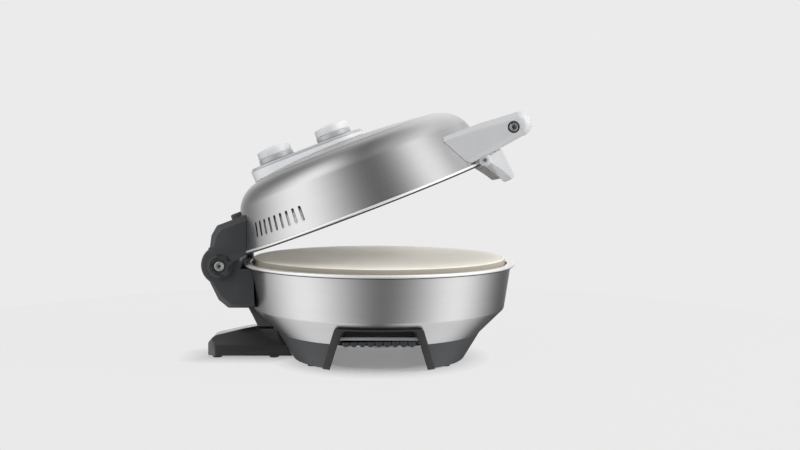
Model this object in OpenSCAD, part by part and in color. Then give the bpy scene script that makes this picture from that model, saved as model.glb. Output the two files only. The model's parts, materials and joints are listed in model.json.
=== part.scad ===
// Electric pizza maker: a round base with a stone, and a domed lid that opens on a rear hinge.
// The lid is drawn closed and swung to its rest angle. +X points to the handle, +Z up.
// The origin is on the table, under the middle of the base.

/* [Overall] */
// Outer radius of the base rim and of the lid rim
rim_r = 178; // [150:1:215]
// Height of the plinth, from the table to the lower edge of the steel shell
plinth_h = 37; // [32:0.5:46]
// Height of the sloping lower part of the steel shell
cone_h = 31; // [27:0.5:38]
// Height of the upright wall of the base
wall_h = 59; // [50:0.5:72]
// Angle by which the lid stands open
lid_open = 21.3; // [0:0.1:55]

/* [Base] */
// Thickness of the sheet steel
sheet_t = 1; // [0.8:0.1:1.4]
// Overhang of the base rim beyond the wall
rim_over = 5.6; // [3:0.2:7]
// Lean of the upright wall
wall_in = 8; // [6:0.1:10]
// Run of the sloping lower part
cone_in = 30.7; // [25:0.1:34]
// Lean of the plinth
plinth_in = 22; // [18:0.5:26]
// Thickness of the plinth wall
plinth_t = 3; // [2.5:0.1:4]
// Width of the base rim from its edge to the recess of the stone
rim_w = 10.5; // [9:0.1:14]
// Thickness of the rubber pads below the plinth
pad_t = 3; // [2:0.5:4]
// Depth of the inner pan below the stone
pan_depth = 36; // [30:0.5:42]

/* [Stone] */
// Thickness of the pizza stone
stone_t = 14; // [11:0.5:17]
// Height of the stone above the base rim
stone_proud = 5.5; // [3:0.5:7]
// Gap round the stone
stone_gap = 2.5; // [1.5:0.1:4]

/* [Carry grips] */
// Width of each side arch at the table
arch_w = 140; // [124:1:150]
// Width of each side arch at its top
arch_top_w = 104; // [88:1:112]
// Rise of each side arch above the plinth
arch_rise = 24; // [20:0.5:26]
// Width of the frame round each arch
frame_w = 6.5; // [5:0.5:8]
// Number of finger ribs on each grip
rib_count = 9; // [6:1:11]

/* [Lid] */
// Gap between the closed lid and the base rim
close_gap = 0.7; // [0.5:0.1:2]
// Height of the lid wall
lid_wall_h = 56.8; // [48:0.2:68]
// Lean of the lid wall
lid_in = 21; // [17:0.5:25]
// Run of the rounded shoulder
shoulder_in = 30; // [25:0.5:36]
// Rise of the rounded shoulder
shoulder_h = 24; // [20:0.5:29]
// Rise of the domed top
dome_rise = 9.2; // [7.6:0.1:11]
// Number of vent slots on each side
vent_count = 9; // [5:1:11]
// Width of a vent slot
vent_w = 2.8; // [2:0.1:3.4]
// Length of a vent slot
vent_h = 17; // [14:0.5:21]

/* [Hinge] */
// Distance of the hinge axis behind the rim
hinge_back = 20; // [18:0.5:24]
// Radius of the hinge shaft
shaft_r = 6; // [5:0.5:7]
// Radius of the lower knuckles
knuckle_r = 25; // [21:0.5:27]
// Half width of the lower hinge bracket
hinge_half_w = 66; // [55:1:78]
// Thickness of the hinge cheeks
cheek_t = 8; // [7:0.5:9.5]
// Radial clearance of the running shafts
run_gap = 0.05; // [0.02:0.01:0.09]
// Clearance between faces that move past each other
side_gap = 0.4; // [0.3:0.1:0.8]

/* [Rear stand] */
// Reach of the rear foot behind the rim
foot_reach = 46; // [42:1:56]
// Half width of the rear foot
foot_half_w = 18; // [15:1:26]
// Half width of the spine above it
spine_half_w = 15; // [12:0.5:20]

/* [Console] */
// Radius of the round ends of the console
pod_r = 38; // [32:0.5:44]
// Distance between the two knobs
knob_pitch = 80; // [68:1:96]
// Height of the console above the domed top
pod_h = 8.3; // [7:0.1:10]
// Radius of the knob skirts
knob_r = 23.5; // [19.5:0.5:28]
// Height of a knob
knob_h = 16; // [13:0.5:19]
// Radius of the knob spindles
spindle_r = 3; // [2.5:0.1:3.6]

/* [Handle] */
// Width across the two handle arms
handle_w = 232; // [200:1:260]
// Thickness of a handle arm
arm_t = 14; // [12:0.5:17]
// Distance of the grip in front of the rim
grip_out = 20.5; // [17:0.5:25]
// Height of the grip above the closed rim
grip_up = 29.3; // [27:0.1:34]
// Radius of the grip tube
grip_r = 11; // [9:0.5:13]
// Radius of the rod inside the grip
rod_r = 5; // [4:0.5:6]

/* [Latch] */
// Gap between the latch and the rims
latch_gap = 3; // [2:0.5:4]
// Depth of the latch plate at its foot
latch_depth = 11.5; // [9.5:0.5:14]
// Drop of the latch below the closed rim
latch_drop = 31.7; // [26:0.1:36]
// Radius of the latch pins
pin_r = 2; // [1.5:0.1:2.4]

/* [Hidden] */
$fn = 96;

steel = "#b9b9bd";
polished = "#e4e4e6";
dark = "#3b3e40";
black = "#1c1d1f";
silver = "#b6b8bb";
pale = "#dfe1e4";

// Heights and radii of the base, from the table up
break_z = plinth_h + cone_h;
rim_z = break_z + wall_h;
shell_top_r = rim_r - rim_over;
break_r = shell_top_r - wall_in;
shell_r = break_r - cone_in;
foot_r = shell_r - plinth_in;
rim_in_r = rim_r - rim_w;
stone_r = rim_in_r - stone_gap;
rim_h = 3;
trim_h = 2;
shell_top_z = rim_z - rim_h - trim_h;
wall_lean = atan(wall_in / (shell_top_z - break_z));
stone_top_z = rim_z + stone_proud;
stone_z = stone_top_z - stone_t;
pan_t = 1.2;
pan_lip_z = shell_top_z - pan_t;
pan_floor_z = stone_z - pan_depth;
pan_floor_r = stone_r - 15;

// Heights and radii of the closed lid
lid_z = rim_z + close_gap;
seal_h = 1.4;
bead_h = 3.2;
lid_rim_w = 7;
bead_z = lid_z + seal_h;
lid_shell_z = bead_z + bead_h;
lid_shell_r = rim_r - 1.2;
crease_z = lid_z + lid_wall_h;
crease_r = rim_r - lid_in;
lid_lean = atan((lid_shell_r - crease_r) / (crease_z - lid_shell_z));
dome_r = crease_r - shoulder_in;
dome_z = crease_z + shoulder_h;
top_z = dome_z + dome_rise;
dome_ball_r = (dome_r * dome_r + dome_rise * dome_rise) / (2 * dome_rise);
liner_top_z = top_z - 18;
seat_gap = 0.2;
seat_fit = 0.02;

hinge_x = -(rim_r + hinge_back);
hinge_z = rim_z - 0.5;
lower_cheek_in = hinge_half_w - cheek_t;
upper_cheek_in = hinge_half_w + side_gap;
upper_cheek_out = upper_cheek_in + cheek_t;
barrel_r = hinge_back - 1.5;

pod_rear_x = -(dome_r + 1 - pod_r);
pod_front_x = pod_rear_x + knob_pitch;
pod_top_z = top_z + pod_h;
fascia_t = 3;
skirt_h = 5.2;
knob_gap = 0.7;
crown_h = 3.4;

arm_out_y = handle_w / 2;
arm_in_y = arm_out_y - arm_t;
grip_x = rim_r + grip_out;
grip_z = lid_z + grip_up;
latch_in_r = rim_r + latch_gap;
latch_half_w = arm_in_y - side_gap;
latch_top_z = lid_z + 7.8;
latch_low_z = lid_z - latch_drop;
pin_z = lid_z + 4.6;
pin_x = sqrt(pow(rim_r + 7, 2) - pow(arm_in_y + 2, 2));
ear_r = 7.5;
arm_rise = 19;

pod_wall = 2.5;
spindle_depth = 8;
cap_r = 14.8;
cap_t = 4;
cap_in_y = -(upper_cheek_out + side_gap);
cap_out_y = cap_in_y - cap_t;
cap_screw_y = cap_out_y + 1;
cap_screw_head_r = 6;
shaft_in_cap = 2;
bush_r = shaft_r + 2.5;
flange_half_w = 24;
flange_up = 43;
screw_r = 2;
knuckle_in_y = sqrt(pow(rim_r, 2) - pow(-hinge_x - knuckle_r - 2, 2)) + 1;
base_screw_az = 14;
lid_screw_az = 14;
vent_low = 16.5;
vent_az = 114.3;
vent_pitch = 3.45;

// Heaters: radii of the loops, radius of the tube, height of the tube's middle
loop_gap = 8;
lower_tube_r = 4;
lower_loops = [120, 84];
lower_element_z = pan_floor_z + 16;
upper_tube_r = 3.5;
upper_loops = [114, 78];
upper_element_z = liner_top_z - 12;
strap_t = 1.5;
shield_z = pan_floor_z - pan_t - 14;
shield_t = 1;

arch_top_z = plinth_h + arch_rise;
frame_out = 4;
grip_bar_z = plinth_h - 3;
rib_pitch = (arch_top_w - 2 * frame_w - 12) / (rib_count - 1);
cover_z = plinth_h - 9;
cover_r = foot_r - 18;
cover_t = 2;
arch_y = -(cover_r + 4);
flange_z = cover_z + cover_t;
flange_t = 3;
foot_t = 5;
cover_screw_az = [20, 160, 200, 340];
gland_az = 146;
gland_r = 7;
gland_z = 19;
foot_pad_h = 5;
foot_root_z = plinth_h + 4;
foot_edge_z = 17;
foot_ridge_w = foot_half_w * 0.6;
foot_spine_x = -(shell_r + 24.5);
bracket_low_z = hinge_z - 54.5;
spine_top_x = hinge_x + 24;

// ---- shared shapes ----

// Moves what is drawn for the closed lid to the lid's rest angle
module in_lid() {
    translate([hinge_x, 0, hinge_z]) rotate([0, -lid_open, 0])
        translate([-hinge_x, 0, -hinge_z]) children();
}

// Extrudes a profile drawn in X and Z along Y
module along_y(y0, y1) {
    translate([0, y1, 0]) rotate([90, 0, 0]) linear_extrude(y1 - y0) children();
}

// Extrudes a profile drawn in Y and Z along X
module along_x(x0, x1) {
    translate([x0, 0, 0]) rotate([90, 0, 90]) linear_extrude(x1 - x0) children();
}

// A cylinder along Y
module rod_y(x, z, r, y0, y1, fn = 48) {
    translate([x, y1, z]) rotate([90, 0, 0]) cylinder(r = r, h = y1 - y0, $fn = fn);
}

// Draws children for the near side and, mirrored, for the far side
module both_sides() {
    children();
    mirror([0, 1, 0]) children();
}

module ring(r_in, r_out, z0, z1) {
    rotate_extrude() translate([r_in, z0]) square([r_out - r_in, z1 - z0]);
}

function unit(v) = v / norm(v);
function corner(p0, p1, p2, r, n) =
    let (a = unit(p0 - p1), b = unit(p2 - p1), half = acos(a * b) / 2,
         c = p1 + unit(a + b) * r / sin(half),
         s = p1 + a * r / tan(half) - c, e = p1 + b * r / tan(half) - c,
         a0 = atan2(s[1], s[0]), turn = ((atan2(e[1], e[0]) - a0 + 900) % 360) - 180)
    [for (i = [0:n]) c + r * [cos(a0 + turn * i / n), sin(a0 + turn * i / n)]];
// A polygon with every corner rounded to a radius
function rounded(p, r, n = 5) =
    [for (i = [0:len(p) - 1]) each corner(p[(i + len(p) - 1) % len(p)], p[i], p[(i + 1) % len(p)],
        is_list(r) ? r[i] : r, n)];
function arc(c, r, a0, a1, n) =
    [for (i = [0:n]) c + r * [cos(a0 + (a1 - a0) * i / n), sin(a0 + (a1 - a0) * i / n)]];
function bezier(p0, p1, p2, n) =
    [for (i = [0:n]) let (t = i / n) (1 - t) * (1 - t) * p0 + 2 * t * (1 - t) * p1 + t * t * p2];
function mirror_x(p) = concat(p, [for (i = [len(p) - 1:-1:0]) [-p[i][0], p[i][1]]]);

// Outline of the base, grown outwards by g, from height z0 up
function base_side(g, z0) = [
    [foot_r + g + (shell_r - foot_r) * z0 / plinth_h, z0], [shell_r + g, plinth_h],
    [break_r + g, break_z], [shell_top_r + g, shell_top_z], [rim_r + g, shell_top_z], [rim_r + g, rim_z]
];
module base_envelope(g = 0, z0 = 0) {
    top = rim_z + 30;
    rotate_extrude() polygon(concat([[0, z0]], base_side(g, z0), [[rim_r + g, top], [0, top]]));
}

// Height of the domed top at a radius
function dome_at(r) = top_z - dome_ball_r + sqrt(dome_ball_r * dome_ball_r - r * r);
// Radius of the closed lid wall at a height
function lid_r_at(z) = lid_shell_r - (z - lid_shell_z) * tan(lid_lean);
// Radius of the base wall at a height
function base_r_at(z) = break_r + (z - break_z) * tan(wall_lean);

function lid_side(g) = concat(
    [[lid_shell_r + g, lid_shell_z]],
    bezier([crease_r + g, crease_z], [crease_r - 9 + g, crease_z + 18 + g], [dome_r, dome_z - 0.8 + g], 8),
    [for (i = [0:8]) let (r = dome_r * (1 - i / 8)) [r, dome_at(r) + g]]
);
module lid_envelope(g = 0) {
    rotate_extrude() polygon(concat(
        [[0, lid_z - 30], [rim_r + g, lid_z - 30], [rim_r + g, lid_shell_z]], lid_side(g)));
}

// A screw through a leaning wall at an azimuth, radius and height, its head inside; or only its hole
module wall_screw(az, r, z, lean, shank, hole, length) {
    rotate([0, 0, az]) translate([r, 0, z]) rotate([0, 90 - lean, 0]) {
        if (hole) {
            translate([0, 0, -6]) cylinder(r = shank, h = length + 6.4, $fn = 24);
        } else {
            translate([0, 0, -sheet_t - 2.1]) cylinder(r = 3.6, h = 2, $fn = 24);
            translate([0, 0, -sheet_t - 0.5]) cylinder(r = shank, h = length + sheet_t + 0.5, $fn = 24);
        }
    }
}

// A coil spring round the Y axis
function ring_points(c, u, v, r, n) =
    [for (k = [0:n - 1]) c + r * (cos(360 * k / n) * u + sin(360 * k / n) * v)];
module coil_y(x, z, y0, y1, coil_r, wire_r, turns, steps = 16, sides = 6) {
    count = turns * steps;
    points = [for (i = [0:count]) let (a = 360 * i / steps, o = [cos(a), 0, sin(a)])
        each ring_points([x, y0 + (y1 - y0) * i / count, z] + coil_r * o, o, [0, 1, 0], wire_r, sides)];
    faces = concat(
        [[for (k = [0:sides - 1]) k]],
        [for (i = [0:count - 1], k = [0:sides - 1]) let (a = i * sides, b = a + sides, m = (k + 1) % sides)
            [a + k, b + k, b + m, a + m]],
        [[for (k = [sides - 1:-1:0]) count * sides + k]]);
    polyhedron(points, faces, convexity = 10);
}

// ---- base ----

// Trapezium of a side arch in X and Z, inset by a margin
function arch_outline(inset, z0) = let (
    slope = (arch_w - arch_top_w) / 2 / arch_top_z, side = inset * sqrt(1 + slope * slope),
    half_low = arch_w / 2 - side - slope * z0, half_top = arch_top_w / 2 - side + slope * inset,
    top = arch_top_z - inset, r = 7 - inset * 0.4)
    concat([[-half_low, z0]],
        corner([-half_low, z0], [-half_top, top], [half_top, top], r, 5),
        corner([-half_top, top], [half_top, top], [half_low, z0], r, 5),
        [[half_low, z0]]);

// The space of the near arch, from outside the base in to a depth
module arch_prism(inset, z0 = -1, y_in = arch_y) {
    along_y(-(rim_r + 10), y_in) polygon(arch_outline(inset, z0));
}

module base_shell() {
    color(steel) difference() {
        rotate_extrude() polygon([
            [shell_r - 12, plinth_h], [shell_r, plinth_h], [break_r, break_z], [shell_top_r, shell_top_z],
            [shell_top_r - sheet_t, shell_top_z], [break_r - sheet_t, break_z + 0.4],
            [shell_r - 1.4 * sheet_t, plinth_h + sheet_t], [shell_r - 12, plinth_h + sheet_t]
        ]);
        both_sides() arch_prism(-seat_gap);
        base_wall_screws(screw_r + 0.2, true);
    }
}

module base_rim() {
    color(polished) rotate_extrude() polygon(concat(
        [[rim_in_r, shell_top_z], [rim_in_r + 1.5, shell_top_z], [rim_in_r + 1.5, rim_z - rim_h]],
        arc([rim_r - 1.5, rim_z - rim_h / 2], rim_h / 2, -90, 90, 8),
        arc([rim_in_r + 1.2, rim_z - 1.2], 1.2, 90, 180, 4)));
}

module rim_trim() {
    color(black) ring(rim_in_r + 1.6, rim_r - 1, shell_top_z, rim_z - rim_h);
}

module inner_pan() {
    ledge_r = stone_r - 9;
    outer_r = shell_top_r - sheet_t - 0.3;
    color("#c9c9c9") difference() {
        rotate_extrude() polygon([
            [outer_r, shell_top_z], [rim_in_r - 0.4, shell_top_z], [rim_in_r - 0.8, stone_z],
            [ledge_r, stone_z], [pan_floor_r, pan_floor_z], [0, pan_floor_z],
            [0, pan_floor_z - pan_t], [pan_floor_r + 1, pan_floor_z - pan_t],
            [ledge_r + 1, stone_z - pan_t], [rim_in_r + 0.4, stone_z - pan_t],
            [rim_in_r + 0.8, pan_lip_z], [outer_r, pan_lip_z]
        ]);
        for (r = lower_loops) rotate([0, 0, -loop_gap]) translate([r, 0, pan_floor_z - 5])
            cylinder(r = lower_tube_r + 0.3, h = 12, $fn = 32);
    }
}

// A tubular heater: two round loops joined at one end, with a terminal at the other end of each
module heater(loops, tube, z, terminal_z) {
    for (r = loops) {
        rotate([0, 0, loop_gap]) rotate_extrude(angle = 360 - 2 * loop_gap)
            translate([r, z]) circle(r = tube, $fn = 20);
        rotate([0, 0, -loop_gap]) translate([r, 0, 0]) {
            translate([0, 0, min(z, terminal_z)]) cylinder(r = tube, h = abs(terminal_z - z), $fn = 20);
            translate([0, 0, z]) sphere(r = tube, $fn = 20);
        }
        rotate([0, 0, loop_gap]) translate([r, 0, z]) sphere(r = tube, $fn = 20);
    }
    rotate([0, 0, loop_gap]) translate([loops[1], 0, z]) rotate([0, 90, 0])
        cylinder(r = tube - 0.4, h = loops[0] - loops[1], $fn = 20);
}

// Straps that cross both loops of a heater on one side of it, each with a post to the sheet behind
module heater_straps(loops, z, post_h, up) {
    for (az = [60, 180, 300]) rotate([0, 0, az]) translate([0, 0, z]) mirror([0, 0, up ? 0 : 1]) {
        translate([loops[1] - 6, -4, 0]) cube([loops[0] - loops[1] + 12, 8, strap_t]);
        translate([(loops[0] + loops[1]) / 2 - 3, -4, 0]) cube([6, 8, post_h]);
    }
}

module lower_element() {
    color("#4a4a4c") heater(lower_loops, lower_tube_r, lower_element_z, pan_floor_z - 8);
}

module lower_element_brackets() {
    top = lower_element_z - lower_tube_r;
    color("#9a9a9c") heater_straps(lower_loops, top, top - pan_floor_z, false);
}

module pan_standoffs() {
    color("#9a9a9c") for (az = [45:90:315]) rotate([0, 0, az]) translate([70, 0, shield_z + shield_t])
        cylinder(r = 5, h = pan_floor_z - pan_t - shield_z - shield_t, $fn = 32);
}

module heat_shield() {
    color("#c0c0c2") difference() {
        translate([0, 0, shield_z]) cylinder(r = pan_floor_r - 14, h = shield_t);
        translate([0, 0, shield_z - 1]) cylinder(r = 14, h = 3, $fn = 48);
    }
}

module thermal_cutout() {
    color("#d9d2c4") translate([0, 0, pan_floor_z - pan_t - 11]) cylinder(r = 8, h = 11, $fn = 32);
}

// The raised frame round a side arch, which follows the slopes of the shell and of the plinth
module arch_frame() {
    intersection() {
        difference() {
            arch_prism(0, pad_t, -(foot_r - 40));
            arch_prism(frame_w, -1, 0);
        }
        rotate_extrude() polygon([
            [foot_r - 7, 0], [foot_r + frame_out, 0], [shell_r + frame_out, plinth_h],
            [shell_r + frame_out + cone_in, break_z], [break_r - 9, break_z], [shell_r - 9, plinth_h]
        ]);
    }
}

module plinth() {
    foot_in_r = foot_r - 12;
    lean = plinth_in / plinth_h;
    color(dark) difference() {
        union() {
            difference() {
                rotate_extrude() polygon([
                    [foot_in_r, pad_t], [foot_r + lean * pad_t, pad_t], [shell_r, plinth_h],
                    [shell_r - 14, plinth_h], [cover_r - 8, flange_z + flange_t], [cover_r - 8, flange_z],
                    [foot_r + lean * flange_z - plinth_t, flange_z],
                    [foot_r + lean * (pad_t + foot_t) - plinth_t, pad_t + foot_t],
                    [foot_in_r, pad_t + foot_t]
                ]);
                both_sides() arch_prism(1);
                translate([-arch_w / 2 + 4, -foot_r, -1])
                    cube([arch_w - 8, 2 * foot_r, pad_t + foot_t + 1.5]);
            }
            both_sides() arch_frame();
        }
        for (az = cover_screw_az) rotate([0, 0, az]) translate([cover_r - 4, 0, cover_z])
            cylinder(r = screw_r + 0.1, h = 20, $fn = 24);
        gland_place() translate([0, 0, -12]) cylinder(r = gland_r + 0.1, h = 30, $fn = 48);
    }
}

// A hood behind a side arch, closed at the back, with a ribbed bar that the fingers close round
module carry_grip() {
    half_w = arch_top_w / 2 - frame_w;
    bar_y = -(shell_r + 1);
    difference() {
        intersection() {
            arch_prism(frame_w + seat_gap, grip_bar_z, arch_y - seat_gap);
            rotate_extrude() polygon([
                [0, 0], [shell_r - 3, plinth_h], [shell_r - 3 + cone_in, break_z], [0, break_z]
            ]);
        }
        arch_prism(frame_w + seat_gap + 2, grip_bar_z - 1, arch_y - 3);
    }
    intersection() {
        union() {
            translate([-half_w - 6, bar_y, grip_bar_z + 6]) cube([2 * half_w + 12, 11, 8]);
            for (i = [0:rib_count - 1])
                rod_y((i - (rib_count - 1) / 2) * rib_pitch, grip_bar_z + 6, rib_pitch * 0.46,
                    bar_y + 0.4, bar_y + 11, 24);
        }
        arch_prism(frame_w + seat_gap, -1, 0);
    }
}
module carry_grip_near() { color("#6d7072") carry_grip(); }
module carry_grip_far() { color("#6d7072") mirror([0, 1, 0]) carry_grip(); }

module foot_pads() {
    color(black) for (az = [-38, 38, 142, 218]) rotate([0, 0, az]) translate([foot_r - 5, 0, 0])
        cylinder(r = 5.5, h = pad_t, $fn = 32);
}

module bottom_cover() {
    color("#8f9194") difference() {
        translate([0, 0, cover_z]) cylinder(r = cover_r, h = cover_t);
        for (az = cover_screw_az) rotate([0, 0, az]) translate([cover_r - 4, 0, cover_z - 1])
            cylinder(r = screw_r + 0.2, h = cover_t + 2, $fn = 24);
        for (i = [-3:3]) translate([i * 9 - 2, -25, cover_z - 1]) cube([4, 50, cover_t + 2]);
    }
}

module cover_screws() {
    color(silver) for (az = cover_screw_az) rotate([0, 0, az]) translate([cover_r - 4, 0, 0]) {
        translate([0, 0, cover_z - 2]) cylinder(r = 3.6, h = 2, $fn = 24);
        translate([0, 0, cover_z - 1]) cylinder(r = screw_r, h = flange_t + cover_t + 1, $fn = 24);
    }
}

module terminal_block() {
    color(pale) translate([-62, -8, cover_z + cover_t]) difference() {
        cube([30, 16, 14]);
        for (i = [0:2]) translate([5 + 10 * i, 8, 4]) cylinder(r = 2.5, h = 11, $fn = 24);
    }
}

// Turns and moves to the cord's way in, with Z pointing out of the plinth
module gland_place() {
    rotate([0, 0, gland_az]) translate([foot_r + plinth_in * gland_z / plinth_h, 0, gland_z])
        rotate([0, 90, 0]) children();
}

module cord_gland() {
    color(black) gland_place() difference() {
        union() {
            translate([0, 0, -7]) cylinder(r = gland_r, h = 15, $fn = 48);
            translate([0, 0, 6]) cylinder(r = gland_r + 2, h = 2, $fn = 48);
        }
        translate([0, 0, -8]) cylinder(r = gland_r - 3, h = 17, $fn = 48);
    }
}

module rear_foot() {
    low = foot_pad_h;
    color(dark) difference() {
        intersection() {
            along_y(-foot_half_w, foot_half_w) polygon([
                [-(rim_r + foot_reach), low], [-foot_r, low], [-foot_r, foot_root_z],
                [foot_spine_x, foot_root_z], [foot_spine_x - 18, foot_root_z - 3],
                [-(rim_r + foot_reach - 8), low + 23.5], [-(rim_r + foot_reach), low + 14]
            ]);
            along_x(-(rim_r + foot_reach + 1), 0) polygon([
                [-foot_half_w, 0], [foot_half_w, 0], [foot_half_w, foot_edge_z],
                [foot_ridge_w, foot_root_z], [-foot_ridge_w, foot_root_z],
                [-foot_half_w, foot_edge_z]
            ]);
            translate([0, 0, -1]) linear_extrude(rim_z) polygon([
                [-foot_r, -foot_half_w], [-foot_r, foot_half_w], [-(rim_r + foot_reach - 10), foot_half_w],
                [-(rim_r + foot_reach), foot_half_w - 5], [-(rim_r + foot_reach), -(foot_half_w - 5)],
                [-(rim_r + foot_reach - 10), -foot_half_w]
            ]);
        }
        base_envelope(seat_gap);
    }
}

module rear_foot_pads() {
    color(black) for (x = [foot_r + 26, rim_r + foot_reach - 12], y = [-1, 1])
        translate([-x, y * (foot_half_w - 8.5), 0]) cylinder(r = 6, h = foot_pad_h, $fn = 32);
}

module rear_spine() {
    color(dark) difference() {
        along_y(-spine_half_w, spine_half_w) polygon([
            [spine_top_x, bracket_low_z - 0.1], [spine_top_x + 8.5, break_z - 12], [foot_spine_x, foot_root_z],
            [-foot_r, foot_root_z], [-foot_r, bracket_low_z - 0.1]
        ]);
        base_envelope(seat_gap);
    }
}

// ---- lower half of the hinge ----

module base_wall_screws(shank, hole, length = 12) {
    for (az = [180 - base_screw_az, 180 + base_screw_az], z = [break_z + 14, rim_z - 20])
        wall_screw(az, base_r_at(z), z, -wall_lean, shank, hole, length);
}

// Side outline of the lower bracket in X and Z, pulled in at the rear by g
function bracket_outline(g) = [
    [hinge_x - knuckle_r + 4 + g, hinge_z - 9], [hinge_x - 14 + g, hinge_z - 24],
    [hinge_x - 4 + g, bracket_low_z + 10 + g], [hinge_x + 8 + g, bracket_low_z + g],
    [-(break_r - 8), bracket_low_z + g], [-(rim_r - 20), hinge_z - 9]
];

module hinge_base() {
    clear_r = knuckle_r + 1;
    color(dark) difference() {
        union() {
            difference() {
                union() {
                    hull() {
                        along_y(-hinge_half_w + 7, hinge_half_w - 7) polygon(bracket_outline(0));
                        along_y(-hinge_half_w, hinge_half_w) polygon(bracket_outline(5));
                    }
                    both_sides() rod_y(hinge_x, hinge_z, knuckle_r, -hinge_half_w, -knuckle_in_y, 96);
                    rod_y(hinge_x, hinge_z, barrel_r, -hinge_half_w + 1, hinge_half_w - 1, 96);
                }
                along_y(-lower_cheek_in, lower_cheek_in) polygon([
                    [hinge_x - 10, hinge_z - 7], [hinge_x - 8, hinge_z - 22],
                    [hinge_x + 4, bracket_low_z + 14],
                    [hinge_x + 13, bracket_low_z + 6], [-(break_r - 20), bracket_low_z + 6],
                    [-(rim_r - 20), hinge_z - 8]
                ]);
                rod_y(hinge_x, hinge_z, barrel_r - 4, -lower_cheek_in, lower_cheek_in, 96);
                along_y(-knuckle_in_y + 0.4, knuckle_in_y - 0.4) difference() {
                    translate([hinge_x, hinge_z]) translate([-clear_r, 0]) square([2 * clear_r, clear_r]);
                    translate([hinge_x, hinge_z]) circle(r = barrel_r);
                }
            }
            intersection() {
                base_wall_screws(5, true, 60);
                along_y(-hinge_half_w + 8, hinge_half_w - 8) polygon(bracket_outline(3));
            }
        }
        base_envelope(seat_gap);
        base_wall_screws(screw_r + 0.1, true);
        rod_y(hinge_x, hinge_z, shaft_r + seat_fit, -hinge_half_w - 1, hinge_half_w + 1);
    }
}

module hinge_base_screws() {
    color(silver) base_wall_screws(screw_r, false);
}

module hinge_shaft() {
    reach = shaft_in_cap - cap_in_y;
    color(silver) rod_y(hinge_x, hinge_z, shaft_r, -reach, reach);
}

module hinge_springs() {
    color("#8c8c90") both_sides()
        coil_y(hinge_x, hinge_z, -lower_cheek_in + 1.4, -lower_cheek_in + 30, shaft_r + 3.6, 1.1, 8);
}

module hinge_caps() {
    color(dark) both_sides() difference() {
        rod_y(hinge_x, hinge_z, cap_r, cap_out_y, cap_in_y, 96);
        rod_y(hinge_x, hinge_z, shaft_r + seat_fit, cap_in_y - shaft_in_cap, cap_in_y + 1);
        rod_y(hinge_x, hinge_z, screw_r + 0.1, cap_out_y - 1, cap_in_y, 24);
        rod_y(hinge_x, hinge_z, cap_screw_head_r + 0.2, cap_out_y - 1, cap_screw_y, 48);
    }
}

module hinge_cap_screws() {
    color(silver) both_sides() difference() {
        union() {
            rod_y(hinge_x, hinge_z, cap_screw_head_r, cap_screw_y - 1.2, cap_screw_y, 48);
            rod_y(hinge_x, hinge_z, screw_r, cap_screw_y - 1, cap_in_y - shaft_in_cap, 24);
        }
        rod_y(hinge_x, hinge_z, screw_r + 0.4, cap_screw_y - 2, cap_screw_y - 0.4, 24);
    }
}

module pizza_stone() {
    color("#e3d5b8") rotate_extrude() polygon([
        [0, stone_z], [stone_r - 1.5, stone_z], [stone_r, stone_z + 1.5], [stone_r, stone_top_z - 1.5],
        [stone_r - 1.5, stone_top_z], [0, stone_top_z]
    ]);
}

// ---- lid ----

module slot_prism(w, h, depth) {
    linear_extrude(depth) {
        square([w, h - w], center = true);
        for (s = [-1, 1]) translate([0, s * (h - w) / 2]) circle(r = w / 2, $fn = 24);
    }
}

module vent_slots() {
    z = lid_z + vent_low + vent_h / 2;
    for (s = [-1, 1], i = [0:vent_count - 1]) rotate([0, 0, s * (vent_az + vent_pitch * i)])
        translate([lid_r_at(z), 0, z]) rotate([0, 90 - lid_lean, 0]) rotate([0, 0, 90])
            translate([0, 0, -4]) slot_prism(vent_w, vent_h, 8);
}

module lid_shell() {
    inner = lid_side(-sheet_t);
    color(steel) in_lid() difference() {
        rotate_extrude() polygon(concat(lid_side(0), [for (i = [len(inner) - 1:-1:0]) inner[i]]));
        vent_slots();
        pill(pod_r - 12, dome_z - 10, top_z + 1);
        bracket_wall_screws(screw_r + 0.2, true);
        arm_wall_screws(screw_r + 0.2, true);
        console_screw_places() translate([0, 0, -3]) cylinder(r = 1.7, h = 9, $fn = 24);
    }
}

module lid_rim() {
    color(polished) in_lid() rotate_extrude() polygon(concat(
        [[rim_r - lid_rim_w, bead_z]],
        arc([rim_r - bead_h / 2, bead_z + bead_h / 2], bead_h / 2, -90, 90, 8),
        [[rim_r - lid_rim_w, lid_shell_z]]));
}

module lid_seal() {
    color(black) in_lid() ring(rim_r - lid_rim_w, rim_r - 0.5, lid_z, bead_z);
}

module lid_liner() {
    low = [rim_r - 9.5, lid_shell_z];
    knee = [crease_r - 4, crease_z - 9];
    top = [dome_r + 3, liner_top_z - 2];
    color("#cfcfd1") in_lid() difference() {
        rotate_extrude() polygon([
            [low[0] + 5, low[1]], [low[0] + 5, low[1] + sheet_t], [low[0], low[1] + sheet_t], knee, top,
            [0, liner_top_z], [0, liner_top_z - sheet_t], top - [0.5, sheet_t], knee - [1, 0.4],
            [low[0] - 1, low[1]]
        ]);
        for (r = upper_loops) rotate([0, 0, -loop_gap]) translate([r, 0, liner_top_z - 8])
            cylinder(r = upper_tube_r + 0.3, h = 12, $fn = 32);
    }
}

module upper_element() {
    color("#4a4a4c") in_lid() heater(upper_loops, upper_tube_r, upper_element_z, liner_top_z + 5);
}

module upper_element_clips() {
    bottom = upper_element_z - upper_tube_r;
    post = (upper_loops[0] + upper_loops[1]) / 2;
    roof = liner_top_z - 2 * post / (dome_r + 3) - sheet_t;
    post_h = roof - bottom + strap_t - 0.3;
    color("#9a9a9c") in_lid() heater_straps(upper_loops, bottom - strap_t, post_h, true);
}

// ---- upper half of the hinge ----

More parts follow.
